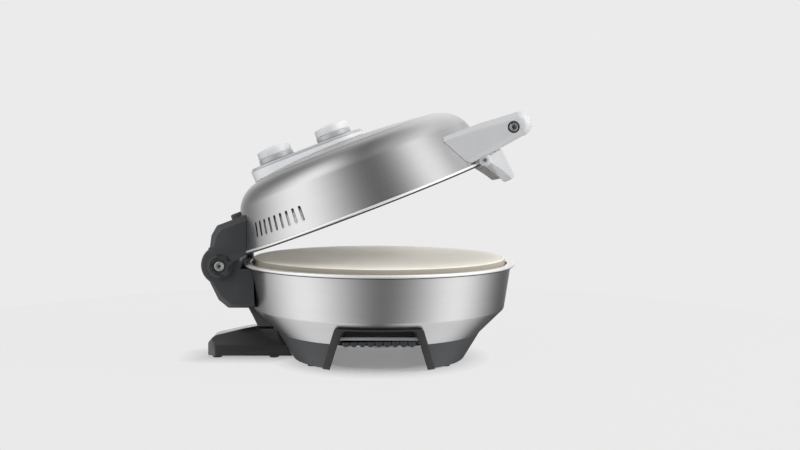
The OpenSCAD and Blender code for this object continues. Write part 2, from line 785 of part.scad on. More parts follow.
module lid_wall_screw(az, z, shank, hole, length) {
    wall_screw(az, lid_r_at(z), z, lid_lean, shank, hole, length);
}
module bracket_wall_screws(shank, hole, length = 12) {
    for (az = [180 - lid_screw_az, 180 + lid_screw_az], z = [lid_shell_z + 9, lid_shell_z + 27])
        lid_wall_screw(az, z, shank, hole, length);
}
module arm_wall_screws(shank, hole) {
    for (s = [-1, 1], z = [grip_z - 6, grip_z + 8])
        lid_wall_screw(s * asin((arm_in_y + 4) / lid_r_at(z)), z, shank, hole, 9);
}

// Side outline of the upper bracket in X and Z, pulled in at the rear and the top by g
function upper_outline(g) = [
    [-(crease_r - 20), lid_z + 0.4], [hinge_x + 4 + g, lid_z + 0.4], [hinge_x - 6 + g, hinge_z + 23],
    [hinge_x + 3 + g, hinge_z + 39 - g * 0.4], [hinge_x + 14 + g * 0.6, hinge_z + 48 - g],
    [-(crease_r - 20), hinge_z + 48 - g]
];

module hinge_lid() {
    color(dark) in_lid() difference() {
        union() {
            difference() {
                union() {
                    hull() {
                        along_y(-upper_cheek_out + 8, upper_cheek_out - 8) polygon(upper_outline(0));
                        along_y(-upper_cheek_out, upper_cheek_out) polygon(upper_outline(7));
                    }
                    translate([hinge_x + 31, -flange_half_w, lid_z + 10])
                        cube([40, 2 * flange_half_w, flange_up]);
                    both_sides() rod_y(hinge_x, hinge_z, cap_r + 1, -upper_cheek_out, -upper_cheek_in, 96);
                    both_sides() along_y(-upper_cheek_out, -upper_cheek_in) polygon([
                        [hinge_x - 8, hinge_z + 13], [hinge_x - 5, hinge_z + 26],
                        [hinge_x + 40, hinge_z + 10],
                        [hinge_x + 40, hinge_z + 1.6], [hinge_x + 10, hinge_z - 2]
                    ]);
                }
                along_y(-lower_cheek_in, lower_cheek_in) polygon([
                    [-(crease_r - 30), lid_z - 5], [hinge_x + 8, lid_z - 5], [hinge_x, hinge_z + 23],
                    [hinge_x + 8, hinge_z + 37], [hinge_x + 16, hinge_z + 43],
                    [-(crease_r - 30), hinge_z + 43]
                ]);
            }
            intersection() {
                bracket_wall_screws(5, true, 60);
                along_y(-lower_cheek_in, lower_cheek_in) polygon(upper_outline(3));
            }
        }
        lid_envelope(seat_gap);
        rod_y(hinge_x, hinge_z, knuckle_r + 0.6, -upper_cheek_in, upper_cheek_in, 96);
        bracket_wall_screws(screw_r + 0.1, true);
        translate([0, 0, -1]) cylinder(r = rim_r + 0.6, h = rim_z + 1 + close_gap, $fn = 96);
        rod_y(hinge_x, hinge_z, bush_r + seat_fit, -upper_cheek_out - 1, upper_cheek_out + 1);
    }
}

module hinge_bushes() {
    color("#c9a24a") in_lid() both_sides() difference() {
        rod_y(hinge_x, hinge_z, bush_r, -upper_cheek_out, -upper_cheek_in);
        rod_y(hinge_x, hinge_z, shaft_r + run_gap, -upper_cheek_out - 1, -upper_cheek_in + 1);
    }
}

module hinge_lid_screws() {
    color(silver) in_lid() bracket_wall_screws(screw_r, false);
}

// ---- console ----

// An upright shape with a pill outline round both knobs, its upper edge bevelled by c
module pill(r, z0, z1, c = 0) {
    for (x = [pod_rear_x, pod_front_x]) translate([x, 0, z0]) {
        cylinder(r = r, h = z1 - z0 - c, $fn = 96);
        if (c > 0) translate([0, 0, z1 - z0 - c]) cylinder(r1 = r, r2 = r - c, h = c, $fn = 96);
    }
    along_x(pod_rear_x, pod_front_x) polygon([
        [-r, z0], [r, z0], [r, z1 - c], [r - c, z1], [c - r, z1], [-r, z1 - c]
    ]);
}

module console_screw_places() {
    for (x = [pod_rear_x + 16, pod_front_x - 16], y = [-1, 1])
        translate([x, y * (pod_r - 7), dome_at(norm([x, pod_r - 7])) - sheet_t - 0.3]) children();
}

module console_base() {
    color(pale) in_lid() difference() {
        union() {
            difference() {
                pill(pod_r, dome_z - 4, pod_top_z - fascia_t - 1);
                pill(pod_r - pod_wall, dome_z - 5, pod_top_z);
            }
            console_screw_places() cylinder(r = 4.6, h = pod_h - fascia_t, $fn = 32);
        }
        lid_envelope(0.3);
        console_screw_places() cylinder(r = 1.6, h = 5, $fn = 24);
    }
}

module console_fascia() {
    color(silver) in_lid() difference() {
        union() {
            pill(pod_r - 2, pod_top_z - fascia_t, pod_top_z, 1.2);
            pill(pod_r, pod_top_z - fascia_t - 1, pod_top_z - fascia_t);
        }
        for (x = [pod_rear_x, pod_front_x]) translate([x, 0, pod_top_z - 10])
            cylinder(r = spindle_r + 1, h = 20, $fn = 48);
        for (s = [-1, 1]) translate([(pod_rear_x + pod_front_x) / 2, s * 9, pod_top_z - 10])
            cylinder(r = 3.1, h = 20, $fn = 32);
    }
}

module console_screws() {
    color(silver) in_lid() console_screw_places() {
        translate([0, 0, -1.8]) cylinder(r = 3, h = 1.8, $fn = 24);
        translate([0, 0, -1]) cylinder(r = 1.5, h = 5.5, $fn = 24);
    }
}

module indicator_lamps() {
    color("#c9362a") in_lid() for (s = [-1, 1])
        translate([(pod_rear_x + pod_front_x) / 2, s * 9, pod_top_z - fascia_t - 4])
            cylinder(r = 3, h = fascia_t + 4.4, $fn = 32);
}

// A switch body that hangs under the fascia and holds the end of a knob's spindle
module switch_body(x, r) {
    top = pod_top_z - fascia_t - 1;
    translate([x, 0, 0]) difference() {
        translate([0, 0, liner_top_z + 3]) cylinder(r = r, h = top - liner_top_z - 3, $fn = 64);
        translate([0, 0, top - spindle_depth])
            cylinder(r = spindle_r + run_gap, h = spindle_depth + 1, $fn = 48);
    }
}
module thermostat() { color("#d8cfc0") in_lid() switch_body(pod_rear_x, 15); }
module timer_unit() { color("#c9a24a") in_lid() switch_body(pod_front_x, 17); }

module knob_skirt(x) {
    in_lid() translate([x, 0, pod_top_z + knob_gap]) difference() {
        cylinder(r = knob_r, h = skirt_h, $fn = 96);
        translate([0, 0, -1]) cylinder(r = spindle_r + 2, h = skirt_h + 2, $fn = 48);
    }
}

module knob(x) {
    in_lid() translate([x, 0, pod_top_z + knob_gap]) difference() {
        union() {
            translate([0, 0, skirt_h])
                cylinder(r1 = knob_r - 0.6, r2 = knob_r - 1.3, h = knob_h - skirt_h - crown_h, $fn = 96);
            translate([0, 0, knob_h - crown_h]) rotate_extrude($fn = 96) polygon([
                [0, 0], [knob_r - 1.3, 0], [knob_r - 2.3, crown_h * 0.3], [knob_r * 0.7, crown_h * 0.72],
                [knob_r * 0.38, crown_h * 0.95], [knob_r * 0.2, crown_h], [0, crown_h]
            ]);
            cylinder(r = spindle_r + 2 - seat_fit, h = skirt_h + 1, $fn = 48);
        }
        translate([0, 0, -1]) cylinder(r = spindle_r + seat_fit, h = knob_h - 3, $fn = 48);
    }
}

module spindle(x) {
    in_lid() translate([x, 0, pod_top_z - fascia_t - 1 - spindle_depth + 0.4])
        cylinder(r = spindle_r, h = spindle_depth + fascia_t + knob_gap + knob_h - 4, $fn = 48);
}

module temperature_knob() { color(pale) knob(pod_rear_x); }
module temperature_skirt() { color(silver) knob_skirt(pod_rear_x); }
module temperature_spindle() { color("#8c8c90") spindle(pod_rear_x); }
module timer_knob() { color(pale) knob(pod_front_x); }
module timer_skirt() { color(silver) knob_skirt(pod_front_x); }
module timer_spindle() { color("#8c8c90") spindle(pod_front_x); }

// ---- handle ----

function arm_outline() = concat(
    [[rim_r - 78, grip_z + arm_rise], [rim_r - 18, grip_z + arm_rise]],
    arc([grip_x + 8.5, grip_z + 1], 15, 98, -98, 14),
    [[grip_x - 30, grip_z - 18.9]],
    arc([pin_x, pin_z], ear_r, 60, -110, 8),
    [[pin_x - ear_r, pin_z + 1], [rim_r - 78, pin_z + 3]]);

module handle_arm() {
    difference() {
        intersection() {
            along_y(-arm_out_y, -arm_in_y) polygon(arm_outline());
            along_x(0, rim_r + 80) polygon([
                [-arm_out_y, 0], [-arm_in_y, 0], [-arm_in_y, grip_z + arm_rise - 2],
                [-arm_in_y - 2, grip_z + arm_rise], [-arm_out_y + 5, grip_z + arm_rise],
                [-arm_out_y, grip_z + arm_rise - 5]
            ]);
        }
        lid_envelope(0.3);
        arm_wall_screws(screw_r + 0.1, true);
        rod_y(grip_x, grip_z, rod_r + seat_fit, -arm_in_y - 6, 0);
        rod_y(grip_x, grip_z, screw_r + 0.1, -arm_out_y - 1, 0, 24);
        rod_y(grip_x, grip_z, 7.2, -arm_out_y - 1, -arm_out_y + 2);
        rod_y(pin_x, pin_z, pin_r + seat_fit, -arm_in_y - 11, -arm_in_y - 5, 32);
        rod_y(pin_x, pin_z, pin_r + 2, -arm_in_y - 5.5, -arm_in_y + 1);
    }
}
module handle_arm_near() { color(silver) in_lid() handle_arm(); }
module handle_arm_far() { color(silver) in_lid() mirror([0, 1, 0]) handle_arm(); }

module handle_arm_screws() {
    color(silver) in_lid() arm_wall_screws(screw_r, false);
}

module handle_grip() {
    color(silver) in_lid() difference() {
        rod_y(grip_x, grip_z, grip_r, -arm_in_y, arm_in_y, 96);
        rod_y(grip_x, grip_z, rod_r + seat_fit, -arm_in_y - 1, arm_in_y + 1);
    }
}

module handle_rod() {
    reach = arm_in_y + 6;
    color("#8c8c90") in_lid() difference() {
        rod_y(grip_x, grip_z, rod_r, -reach, reach);
        both_sides() rod_y(grip_x, grip_z, screw_r + seat_fit, -reach - 1, -reach + 16, 24);
    }
}

module grip_screws() {
    color(silver) in_lid() both_sides() difference() {
        union() {
            rod_y(grip_x, grip_z, 7, -arm_out_y - 0.6, -arm_out_y + 2);
            rod_y(grip_x, grip_z, screw_r, -arm_out_y, -arm_in_y + 8, 24);
        }
        rod_y(grip_x, grip_z, 3, -arm_out_y - 2, -arm_out_y + 0.6, 6);
    }
}

// ---- latch ----

module latch_pins() {
    color("#8c8c90") in_lid() both_sides() rod_y(pin_x, pin_z, pin_r, -arm_in_y - 11, -arm_in_y + 9, 32);
}

module latch_springs() {
    color("#8c8c90") in_lid() both_sides()
        coil_y(pin_x, pin_z, -arm_in_y - 5, -arm_in_y - 1, pin_r + 1.3, 0.45, 4);
}

module latch() {
    out_low_r = latch_in_r + latch_depth;
    out_top_r = latch_in_r + latch_depth * 0.6;
    low_half_w = latch_half_w * 0.6;
    color(silver) in_lid() difference() {
        intersection() {
            rotate_extrude() polygon([
                [latch_in_r, latch_low_z + 2], [latch_in_r + 2, latch_low_z], [out_low_r - 2, latch_low_z],
                [out_low_r, latch_low_z + 2], [out_top_r, latch_top_z], [latch_in_r, latch_top_z]
            ]);
            along_x(0, rim_r + 40) polygon([
                [-low_half_w, latch_low_z - 1], [low_half_w, latch_low_z - 1],
                [latch_half_w, pin_z - 6], [latch_half_w, pin_z + 6], [-latch_half_w, pin_z + 6],
                [-latch_half_w, pin_z - 6]
            ]);
        }
        rod_y(pin_x, pin_z, pin_r + run_gap, -latch_half_w - 1, -arm_in_y + 10, 32);
        rod_y(pin_x, pin_z, pin_r + run_gap, arm_in_y - 10, latch_half_w + 1, 32);
    }
}

base_shell();
base_rim();
rim_trim();
inner_pan();
lower_element();
lower_element_brackets();
pan_standoffs();
heat_shield();
thermal_cutout();
plinth();
carry_grip_near();
carry_grip_far();
foot_pads();
bottom_cover();
cover_screws();
terminal_block();
cord_gland();
rear_foot();
rear_foot_pads();
rear_spine();
hinge_base();
hinge_base_screws();
hinge_shaft();
hinge_springs();
hinge_caps();
hinge_cap_screws();
pizza_stone();
lid_shell();
lid_rim();
lid_seal();
lid_liner();
upper_element();
upper_element_clips();
hinge_lid();
hinge_lid_screws();
hinge_bushes();
console_base();
console_fascia();
console_screws();
indicator_lamps();
thermostat();
timer_unit();
handle_arm_near();
handle_arm_far();
handle_arm_screws();
handle_grip();
handle_rod();
grip_screws();
latch_pins();
latch_springs();
latch();
temperature_knob();
temperature_skirt();
temperature_spindle();
timer_knob();
timer_skirt();
timer_spindle();
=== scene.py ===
"""Electric pizza maker: a steel base with a baking stone, under a domed lid on a rear hinge.

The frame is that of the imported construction: +X runs from the hinge to the handle, +Z is up, and
the origin is on the table under the middle of the base. Sizes are in millimetres until they go into
a mesh. Pieces of the lid are drawn for the closed lid, and are then turned about the hinge to the
lid's rest angle.
"""

import json
import logging
import math
from contextlib import contextmanager
from dataclasses import dataclass, replace
from enum import Enum
from typing import Callable, Iterator, Sequence

import bmesh
import bpy
import numpy as np
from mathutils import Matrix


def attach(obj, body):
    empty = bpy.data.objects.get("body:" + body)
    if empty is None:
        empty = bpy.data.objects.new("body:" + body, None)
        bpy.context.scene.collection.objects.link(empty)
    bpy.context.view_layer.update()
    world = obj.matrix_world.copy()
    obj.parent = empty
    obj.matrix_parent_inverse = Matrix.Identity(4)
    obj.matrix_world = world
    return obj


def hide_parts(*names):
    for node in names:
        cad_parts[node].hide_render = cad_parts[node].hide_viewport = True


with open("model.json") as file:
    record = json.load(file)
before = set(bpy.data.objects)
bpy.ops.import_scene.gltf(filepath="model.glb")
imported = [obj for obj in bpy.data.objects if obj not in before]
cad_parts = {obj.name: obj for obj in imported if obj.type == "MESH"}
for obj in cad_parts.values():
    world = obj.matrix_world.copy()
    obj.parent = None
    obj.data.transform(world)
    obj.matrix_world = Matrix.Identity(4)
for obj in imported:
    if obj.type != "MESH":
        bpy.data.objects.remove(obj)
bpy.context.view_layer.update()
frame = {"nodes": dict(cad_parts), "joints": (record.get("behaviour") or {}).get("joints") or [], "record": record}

LOG = logging.getLogger("pizza_maker")
Array = np.ndarray
Point = Sequence[float]
Piece = bpy.types.Object

MM = 0.001
FULL_TURN = 2 * math.pi
# Half the angle of a corner, from which on it isn't rounded any more.
NEARLY_STRAIGHT = math.radians(89)
# Lengths in metres up to which vertices are merged and faces count as flat.
MERGE_M = 1e-6
FLAT_M = 1e-7
# The turn in degrees past which an edge stays sharp, where a piece doesn't say its own.
SHARP = 32.0


# ---------------------------------------------------------------- numbers from the frame


@dataclass(frozen=True)
class LidPlace:
    """The turn about the hinge that takes the closed lid to its rest angle.

    Attributes:
        axis_x: X of the hinge axis.
        axis_z: Z of the hinge axis.
        angle: angle by which the lid stands open, in radians.
    """

    axis_x: float
    axis_z: float
    angle: float

    def opened(self, points: Array) -> Array:
        """Turns points of the closed lid about the axis, so that +X goes towards +Z by the angle."""
        out = np.array(points, float)
        x, z = out[..., 0] - self.axis_x, out[..., 2] - self.axis_z
        out[..., 0] = self.axis_x + x * math.cos(self.angle) - z * math.sin(self.angle)
        out[..., 2] = self.axis_z + x * math.sin(self.angle) + z * math.cos(self.angle)
        return out


HINGE = next(row for row in frame["joints"] if row["name"] == "lid_hinge")
LID = LidPlace(HINGE["pos_m"][0] / MM, HINGE["pos_m"][2] / MM, math.radians(-HINGE["range_deg"][0]))


# ---------------------------------------------------------------- outlines


def fillet(points: Sequence[Point], radii: float | Sequence[float], steps: int = 6,
           closed: bool = True) -> Array:
    """Rounds the corners of an outline.

    At each corner the arc of the wanted radius touches both sides: its centre lies on the bisector
    at radius / sin(half the corner's angle), and the arc turns from one touching point to the other.
    A corner that is nearly straight only gets more points.

    Args:
        points: the outline's corners.
        radii: one radius, or one for each corner; 0 keeps a corner sharp.
        steps: pieces of each arc.
        closed: whether the last corner joins the first.

    Returns:
        The rounded outline as an (n, 2) array.
    """
    corners = np.array(points, float)
    count = len(corners)
    wanted = [radii] * count if np.isscalar(radii) else list(radii)
    out = []
    for i, here in enumerate(corners):
        if wanted[i] <= 0 or (not closed and i in (0, count - 1)):
            out.append(here[None])
            continue
        back, ahead = corners[i - 1] - here, corners[(i + 1) % count] - here
        reach_back, reach_ahead = np.linalg.norm(back), np.linalg.norm(ahead)
        shorter = min(reach_back, reach_ahead)
        back, ahead = back / reach_back, ahead / reach_ahead
        half = math.acos(float(np.clip(back @ ahead, -1, 1))) / 2
        if half > NEARLY_STRAIGHT:
            tangent = min(1.0, 0.4 * shorter)
            out.append(np.linspace(here + back * tangent, here + ahead * tangent, steps + 1))
            continue
        tangent = min(wanted[i] / math.tan(half), 0.49 * shorter)
        radius = tangent * math.tan(half)
        bisector = (back + ahead) / np.linalg.norm(back + ahead)
        centre = here + bisector * radius / math.sin(half)
        start, end = here + back * tangent - centre, here + ahead * tangent - centre
        first = math.atan2(start[1], start[0])
        sweep = (math.atan2(end[1], end[0]) - first + 3 * math.pi) % FULL_TURN - math.pi
        turn = first + sweep * np.linspace(0, 1, steps + 1)
        out.append(centre + radius * np.stack([np.cos(turn), np.sin(turn)], 1))
    return np.concatenate(out)


def arc(centre: Point, radius: float, first: float, last: float, steps: int) -> Array:
    """Points at centre + radius * (cos a, sin a), with a running from first to last degrees."""
    turn = np.radians(np.linspace(first, last, steps + 1))
    return np.array(centre, float) + radius * np.stack([np.cos(turn), np.sin(turn)], 1)


def circle(steps: int, first: float = 0.0) -> Array:
    """Evenly spaced points of the unit circle, from an angle in radians on."""
    turn = first + FULL_TURN * np.arange(steps) / steps
    return np.stack([np.cos(turn), np.sin(turn)], 1)


def bezier(start: Point, pull: Point, end: Point, steps: int) -> Array:
    """A quadratic curve: (1-t)^2 start + 2 t (1-t) pull + t^2 end, for t from 0 to 1."""
    t = np.linspace(0, 1, steps + 1)[:, None]
    a, b, c = (np.array(p, float) for p in (start, pull, end))
    return (1 - t) ** 2 * a + 2 * t * (1 - t) * b + t ** 2 * c


def subdivided(outline: Array, longest: float, closed: bool = True) -> Array:
    """Splits the long sides of an outline, so that none is longer than a length."""
    ends = np.roll(outline, -1, 0) if closed else outline[1:]
    starts = outline if closed else outline[:-1]
    out = []
    for a, b in zip(starts, ends):
        parts = max(1, math.ceil(np.linalg.norm(b - a) / longest))
        out.append(a + (b - a) * (np.arange(parts) / parts)[:, None])
    if not closed:
        out.append(outline[-1:])
    return np.concatenate(out)


def drawn_in(outline: Array, depth: Array) -> Array:
    """Moves the sides of a closed outline inwards, by one depth for each corner.

    A corner moves along the mean of its two sides' normals, by depth / cos(half the turn).
    """
    ahead = np.roll(outline, -1, 0) - outline
    normal = np.stack([ahead[:, 1], -ahead[:, 0]], 1) / np.linalg.norm(ahead, axis=1)[:, None]
    (x, z), (next_x, next_z) = outline.T, np.roll(outline, -1, 0).T
    area = np.sum(x * next_z - z * next_x)
    mean = normal + np.roll(normal, 1, 0)
    mean /= np.linalg.norm(mean, axis=1)[:, None]
    reach = depth / np.clip(np.sum(mean * normal, 1), 0.5, 1)
    return outline - mean * reach[:, None] * np.sign(area)


class Plane(Enum):
    """The plane in which an outline lies; the other axis is the one that it is carried along."""

    XZ = (0, 2, 1)
    YZ = (1, 2, 0)
    XY = (0, 1, 2)

    def put(self, outline: Sequence[Point], height: float | Array) -> Array:
        """Puts a flat outline into space, at a height or with one for each point."""
        flat = np.asarray(outline, float)
        across, up, along = self.value
        out = np.zeros((len(flat), 3))
        out[:, across], out[:, up], out[:, along] = flat[:, 0], flat[:, 1], height
        return out


# ---------------------------------------------------------------- meshes


@contextmanager
def edited(data: bpy.types.Mesh) -> Iterator[bmesh.types.BMesh]:
    """Opens a mesh for a change, and writes it back afterwards."""
    work = bmesh.new()
    work.from_mesh(data)
    yield work
    work.to_mesh(data)
    work.free()


def placed(name: str, data: bpy.types.ID) -> Piece:
    """Puts an object with its data into the scene."""
    obj = bpy.data.objects.new(name, data)
    bpy.context.scene.collection.objects.link(obj)
    return obj


def squares(row: Array, col: Array, next_row: Array, next_col: Array, width: int) -> Array:
    """Numbers of the four corners of each square of a grid, whose points are counted row by row."""
    ends = ((row, col), (row, next_col), (next_row, next_col), (next_row, col))
    return np.stack([r * width + c for r, c in ends], -1).reshape(-1, 4)


def wrapped(profile: Array, steps: int) -> Array:
    """Map coordinates of a turned profile: the share of the turn, and the length along the profile."""
    uv = np.zeros((len(profile), steps + 1, 2))
    uv[..., 0] = np.arange(steps + 1) / steps
    length = np.cumsum(np.linalg.norm(np.diff(profile, axis=0), axis=1))
    uv[..., 1] = np.concatenate([[0], length])[:, None]
    return uv


class Maker:
    """Makes Blender meshes from arrays. Sizes go in as millimetres, and the meshes are in metres."""

    @staticmethod
    def outward(obj: Piece) -> Piece:
        """Merges doubled vertices, drops flat faces and turns all faces outwards."""
        with edited(obj.data) as work:
            bmesh.ops.remove_doubles(work, verts=work.verts, dist=MERGE_M)
            bmesh.ops.dissolve_degenerate(work, edges=work.edges, dist=FLAT_M)
            bmesh.ops.recalc_face_normals(work, faces=work.faces)
        return obj

    @staticmethod
    def grid(name: str, points: Array, close_rows: bool = False, uv: Array | None = None) -> Piece:
        """Makes a surface from rows of points, each of which is a ring.

        Args:
            name: name of the piece.
            points: (rows, cols, 3) points, in millimetres.
            close_rows: whether the last row joins the first.
            uv: (rows + close_rows, cols + 1, 2) map coordinates, or None.

        Returns:
            The new object.
        """
        rows, cols = points.shape[:2]
        steps = np.arange(rows if close_rows else rows - 1)
        row, col = np.meshgrid(steps, np.arange(cols), indexing="ij")
        faces = squares(row, col, (row + 1) % rows, (col + 1) % cols, cols)
        data = bpy.data.meshes.new(name)
        data.from_pydata((points.reshape(-1, 3) * MM).tolist(), [], faces.tolist())
        if uv is not None:
            at = squares(row, col, row + 1, col + 1, cols + 1).reshape(-1)
            layer = data.uv_layers.new(name="UVMap")
            layer.data.foreach_set("uv", uv.reshape(-1, 2)[at].astype(np.float32).ravel())
        return placed(name, data)

    @classmethod
    def turned(cls, name: str, profile: Sequence[Point], steps: int = 192, closed: bool = True,
               centre: Point = (0.0, 0.0)) -> Piece:
        """Turns a profile about an upright axis, from the rear on.

        A point (r, z) of the profile at the turn a lies at (centre + r (cos a, sin a), z).

        Args:
            name: name of the piece.
            profile: (n, 2) radii and heights.
            steps: pieces of the full turn.
            closed: whether the profile's last point joins its first.
            centre: X and Y of the axis.

        Returns:
            The new object, with its normals outwards.
        """
        line = np.array(profile, float)
        points = np.zeros((len(line), steps, 3))
        points[..., :2] = np.array(centre) + line[:, None, :1] * circle(steps, math.pi)
        points[..., 2] = line[:, None, 1]
        uv = wrapped(np.concatenate([line, line[:1]]) if closed else line, steps)
        return cls.outward(cls.grid(name, points, closed, uv))

    @classmethod
    def stacked(cls, name: str, rings: Sequence[Array], uv: Array | None = None) -> Piece:
        """Joins rings of equally many points into a closed solid, with a flat face at each end.

        Args:
            name: name of the piece.
            rings: (m, n, 3) points.
            uv: (m, n + 1, 2) map coordinates, or None.

        Returns:
            The new object, with its normals outwards.
        """
        points = np.stack(list(rings))
        obj = cls.grid(name, points, uv=uv)
        count, size = points.shape[:2]
        with edited(obj.data) as work:
            work.verts.ensure_lookup_table()
            for first in (0, (count - 1) * size):
                work.faces.new([work.verts[first + k] for k in range(size)])
        return cls.outward(obj)

    @classmethod
    def prism(cls, name: str, outline: Sequence[Point], plane: Plane, low: float, high: float) -> Piece:
        """Carries a flat outline straight along the third axis, from low to high."""
        return cls.stacked(name, (plane.put(outline, height) for height in (low, high)))

    @classmethod
    def block(cls, name: str, low: Point, high: Point) -> Piece:
        """A box between two corners."""
        outline = [[low[0], low[1]], [high[0], low[1]], [high[0], high[1]], [low[0], high[1]]]
        return cls.prism(name, outline, Plane.XY, low[2], high[2])

    @classmethod
    def rod(cls, name: str, centre: Point, profile: Sequence[Point], steps: int = 64) -> Piece:
        """Turns a profile about an axis that runs along Y.

        Args:
            name: name of the piece.
            centre: X and Z of the axis.
            profile: (n, 2) pairs of radius and Y; its ends are closed flat.
            steps: pieces of the full turn.

        Returns:
            The new object.
        """
        line, middle = np.array(profile, float), np.array(centre, float)
        rings = (Plane.XZ.put(middle + max(r, 1e-5) * circle(steps), y) for r, y in line)
        return cls.stacked(name, rings, wrapped(line, steps))

    @staticmethod
    def applied(obj: Piece) -> Piece:
        """Applies an object's modifiers to its mesh."""
        graph = bpy.context.evaluated_depsgraph_get()
        graph.update()
        data = bpy.data.meshes.new_from_object(obj.evaluated_get(graph))
        obj.modifiers.clear()
        old, obj.data = obj.data, data
        data.name = obj.name
        bpy.data.meshes.remove(old)
        return obj

    @classmethod
    def bevelled(cls, obj: Piece, width: float, steps: int, angle: float) -> Piece:
        """Rounds the edges that turn by more than an angle, in degrees."""
        bevel = obj.modifiers.new("bevel", "BEVEL")
        bevel.width, bevel.segments, bevel.limit_method = width * MM, steps, "ANGLE"
        bevel.angle_limit = math.radians(angle)
        bevel.use_clamp_overlap = True
        return cls.applied(obj)

    @classmethod
    def cut(cls, obj: Piece, *cutters: Piece, operation: str = "DIFFERENCE") -> Piece:
        """Cuts solids out of a solid, or joins or intersects it with them.

        Args:
            obj: the solid that stays.
            cutters: the other solids, which are deleted.
            operation: DIFFERENCE, UNION or INTERSECT.

        Returns:
            The changed solid.
        """
        for cutter in cutters:
            change = obj.modifiers.new("cut", "BOOLEAN")
            change.operation, change.solver, change.object = operation, "EXACT", cutter
            cls.applied(obj)
            cls.remove(cutter)
        return obj

    @classmethod
    def joined(cls, name: str, parts: Sequence[Piece]) -> Piece:
        """Puts several solids into one object, without joining their surfaces."""
        work = bmesh.new()
        for part in parts:
            work.from_mesh(part.data)
        data = bpy.data.meshes.new(name)
        work.to_mesh(data)
        work.free()
        obj = placed(name, data)
        for part in parts:
            cls.remove(part)
        return obj

    @staticmethod
    def remove(obj: Piece) -> None:
        """Deletes an object and its mesh."""
        data = obj.data
        bpy.data.objects.remove(obj)
        bpy.data.meshes.remove(data)

    @staticmethod
    def moved(obj: Piece, change: Callable[[Array], Array]) -> Piece:
        """Moves an object's vertices by a function of their (n, 3) array in millimetres."""
        mesh = obj.data
        points = np.zeros(len(mesh.vertices) * 3, np.float32)
        mesh.vertices.foreach_get("co", points)
        moved = change(points.reshape(-1, 3).astype(float) / MM) * MM
        mesh.vertices.foreach_set("co", moved.astype(np.float32).ravel())
        mesh.update()
        return obj

    @classmethod
    def both(cls, near: Piece) -> tuple[Piece, Piece]:
        """A near piece and its mirror image, which is called far for near and right for left."""
        name = near.name.replace("near", "far").replace("left", "right")
        far = placed(name, near.data.copy())
        far.data.name = name
        cls.moved(far, lambda points: points * np.array([1.0, -1.0, 1.0]))
        far.data.flip_normals()
        return near, far


# ---------------------------------------------------------------- shader language


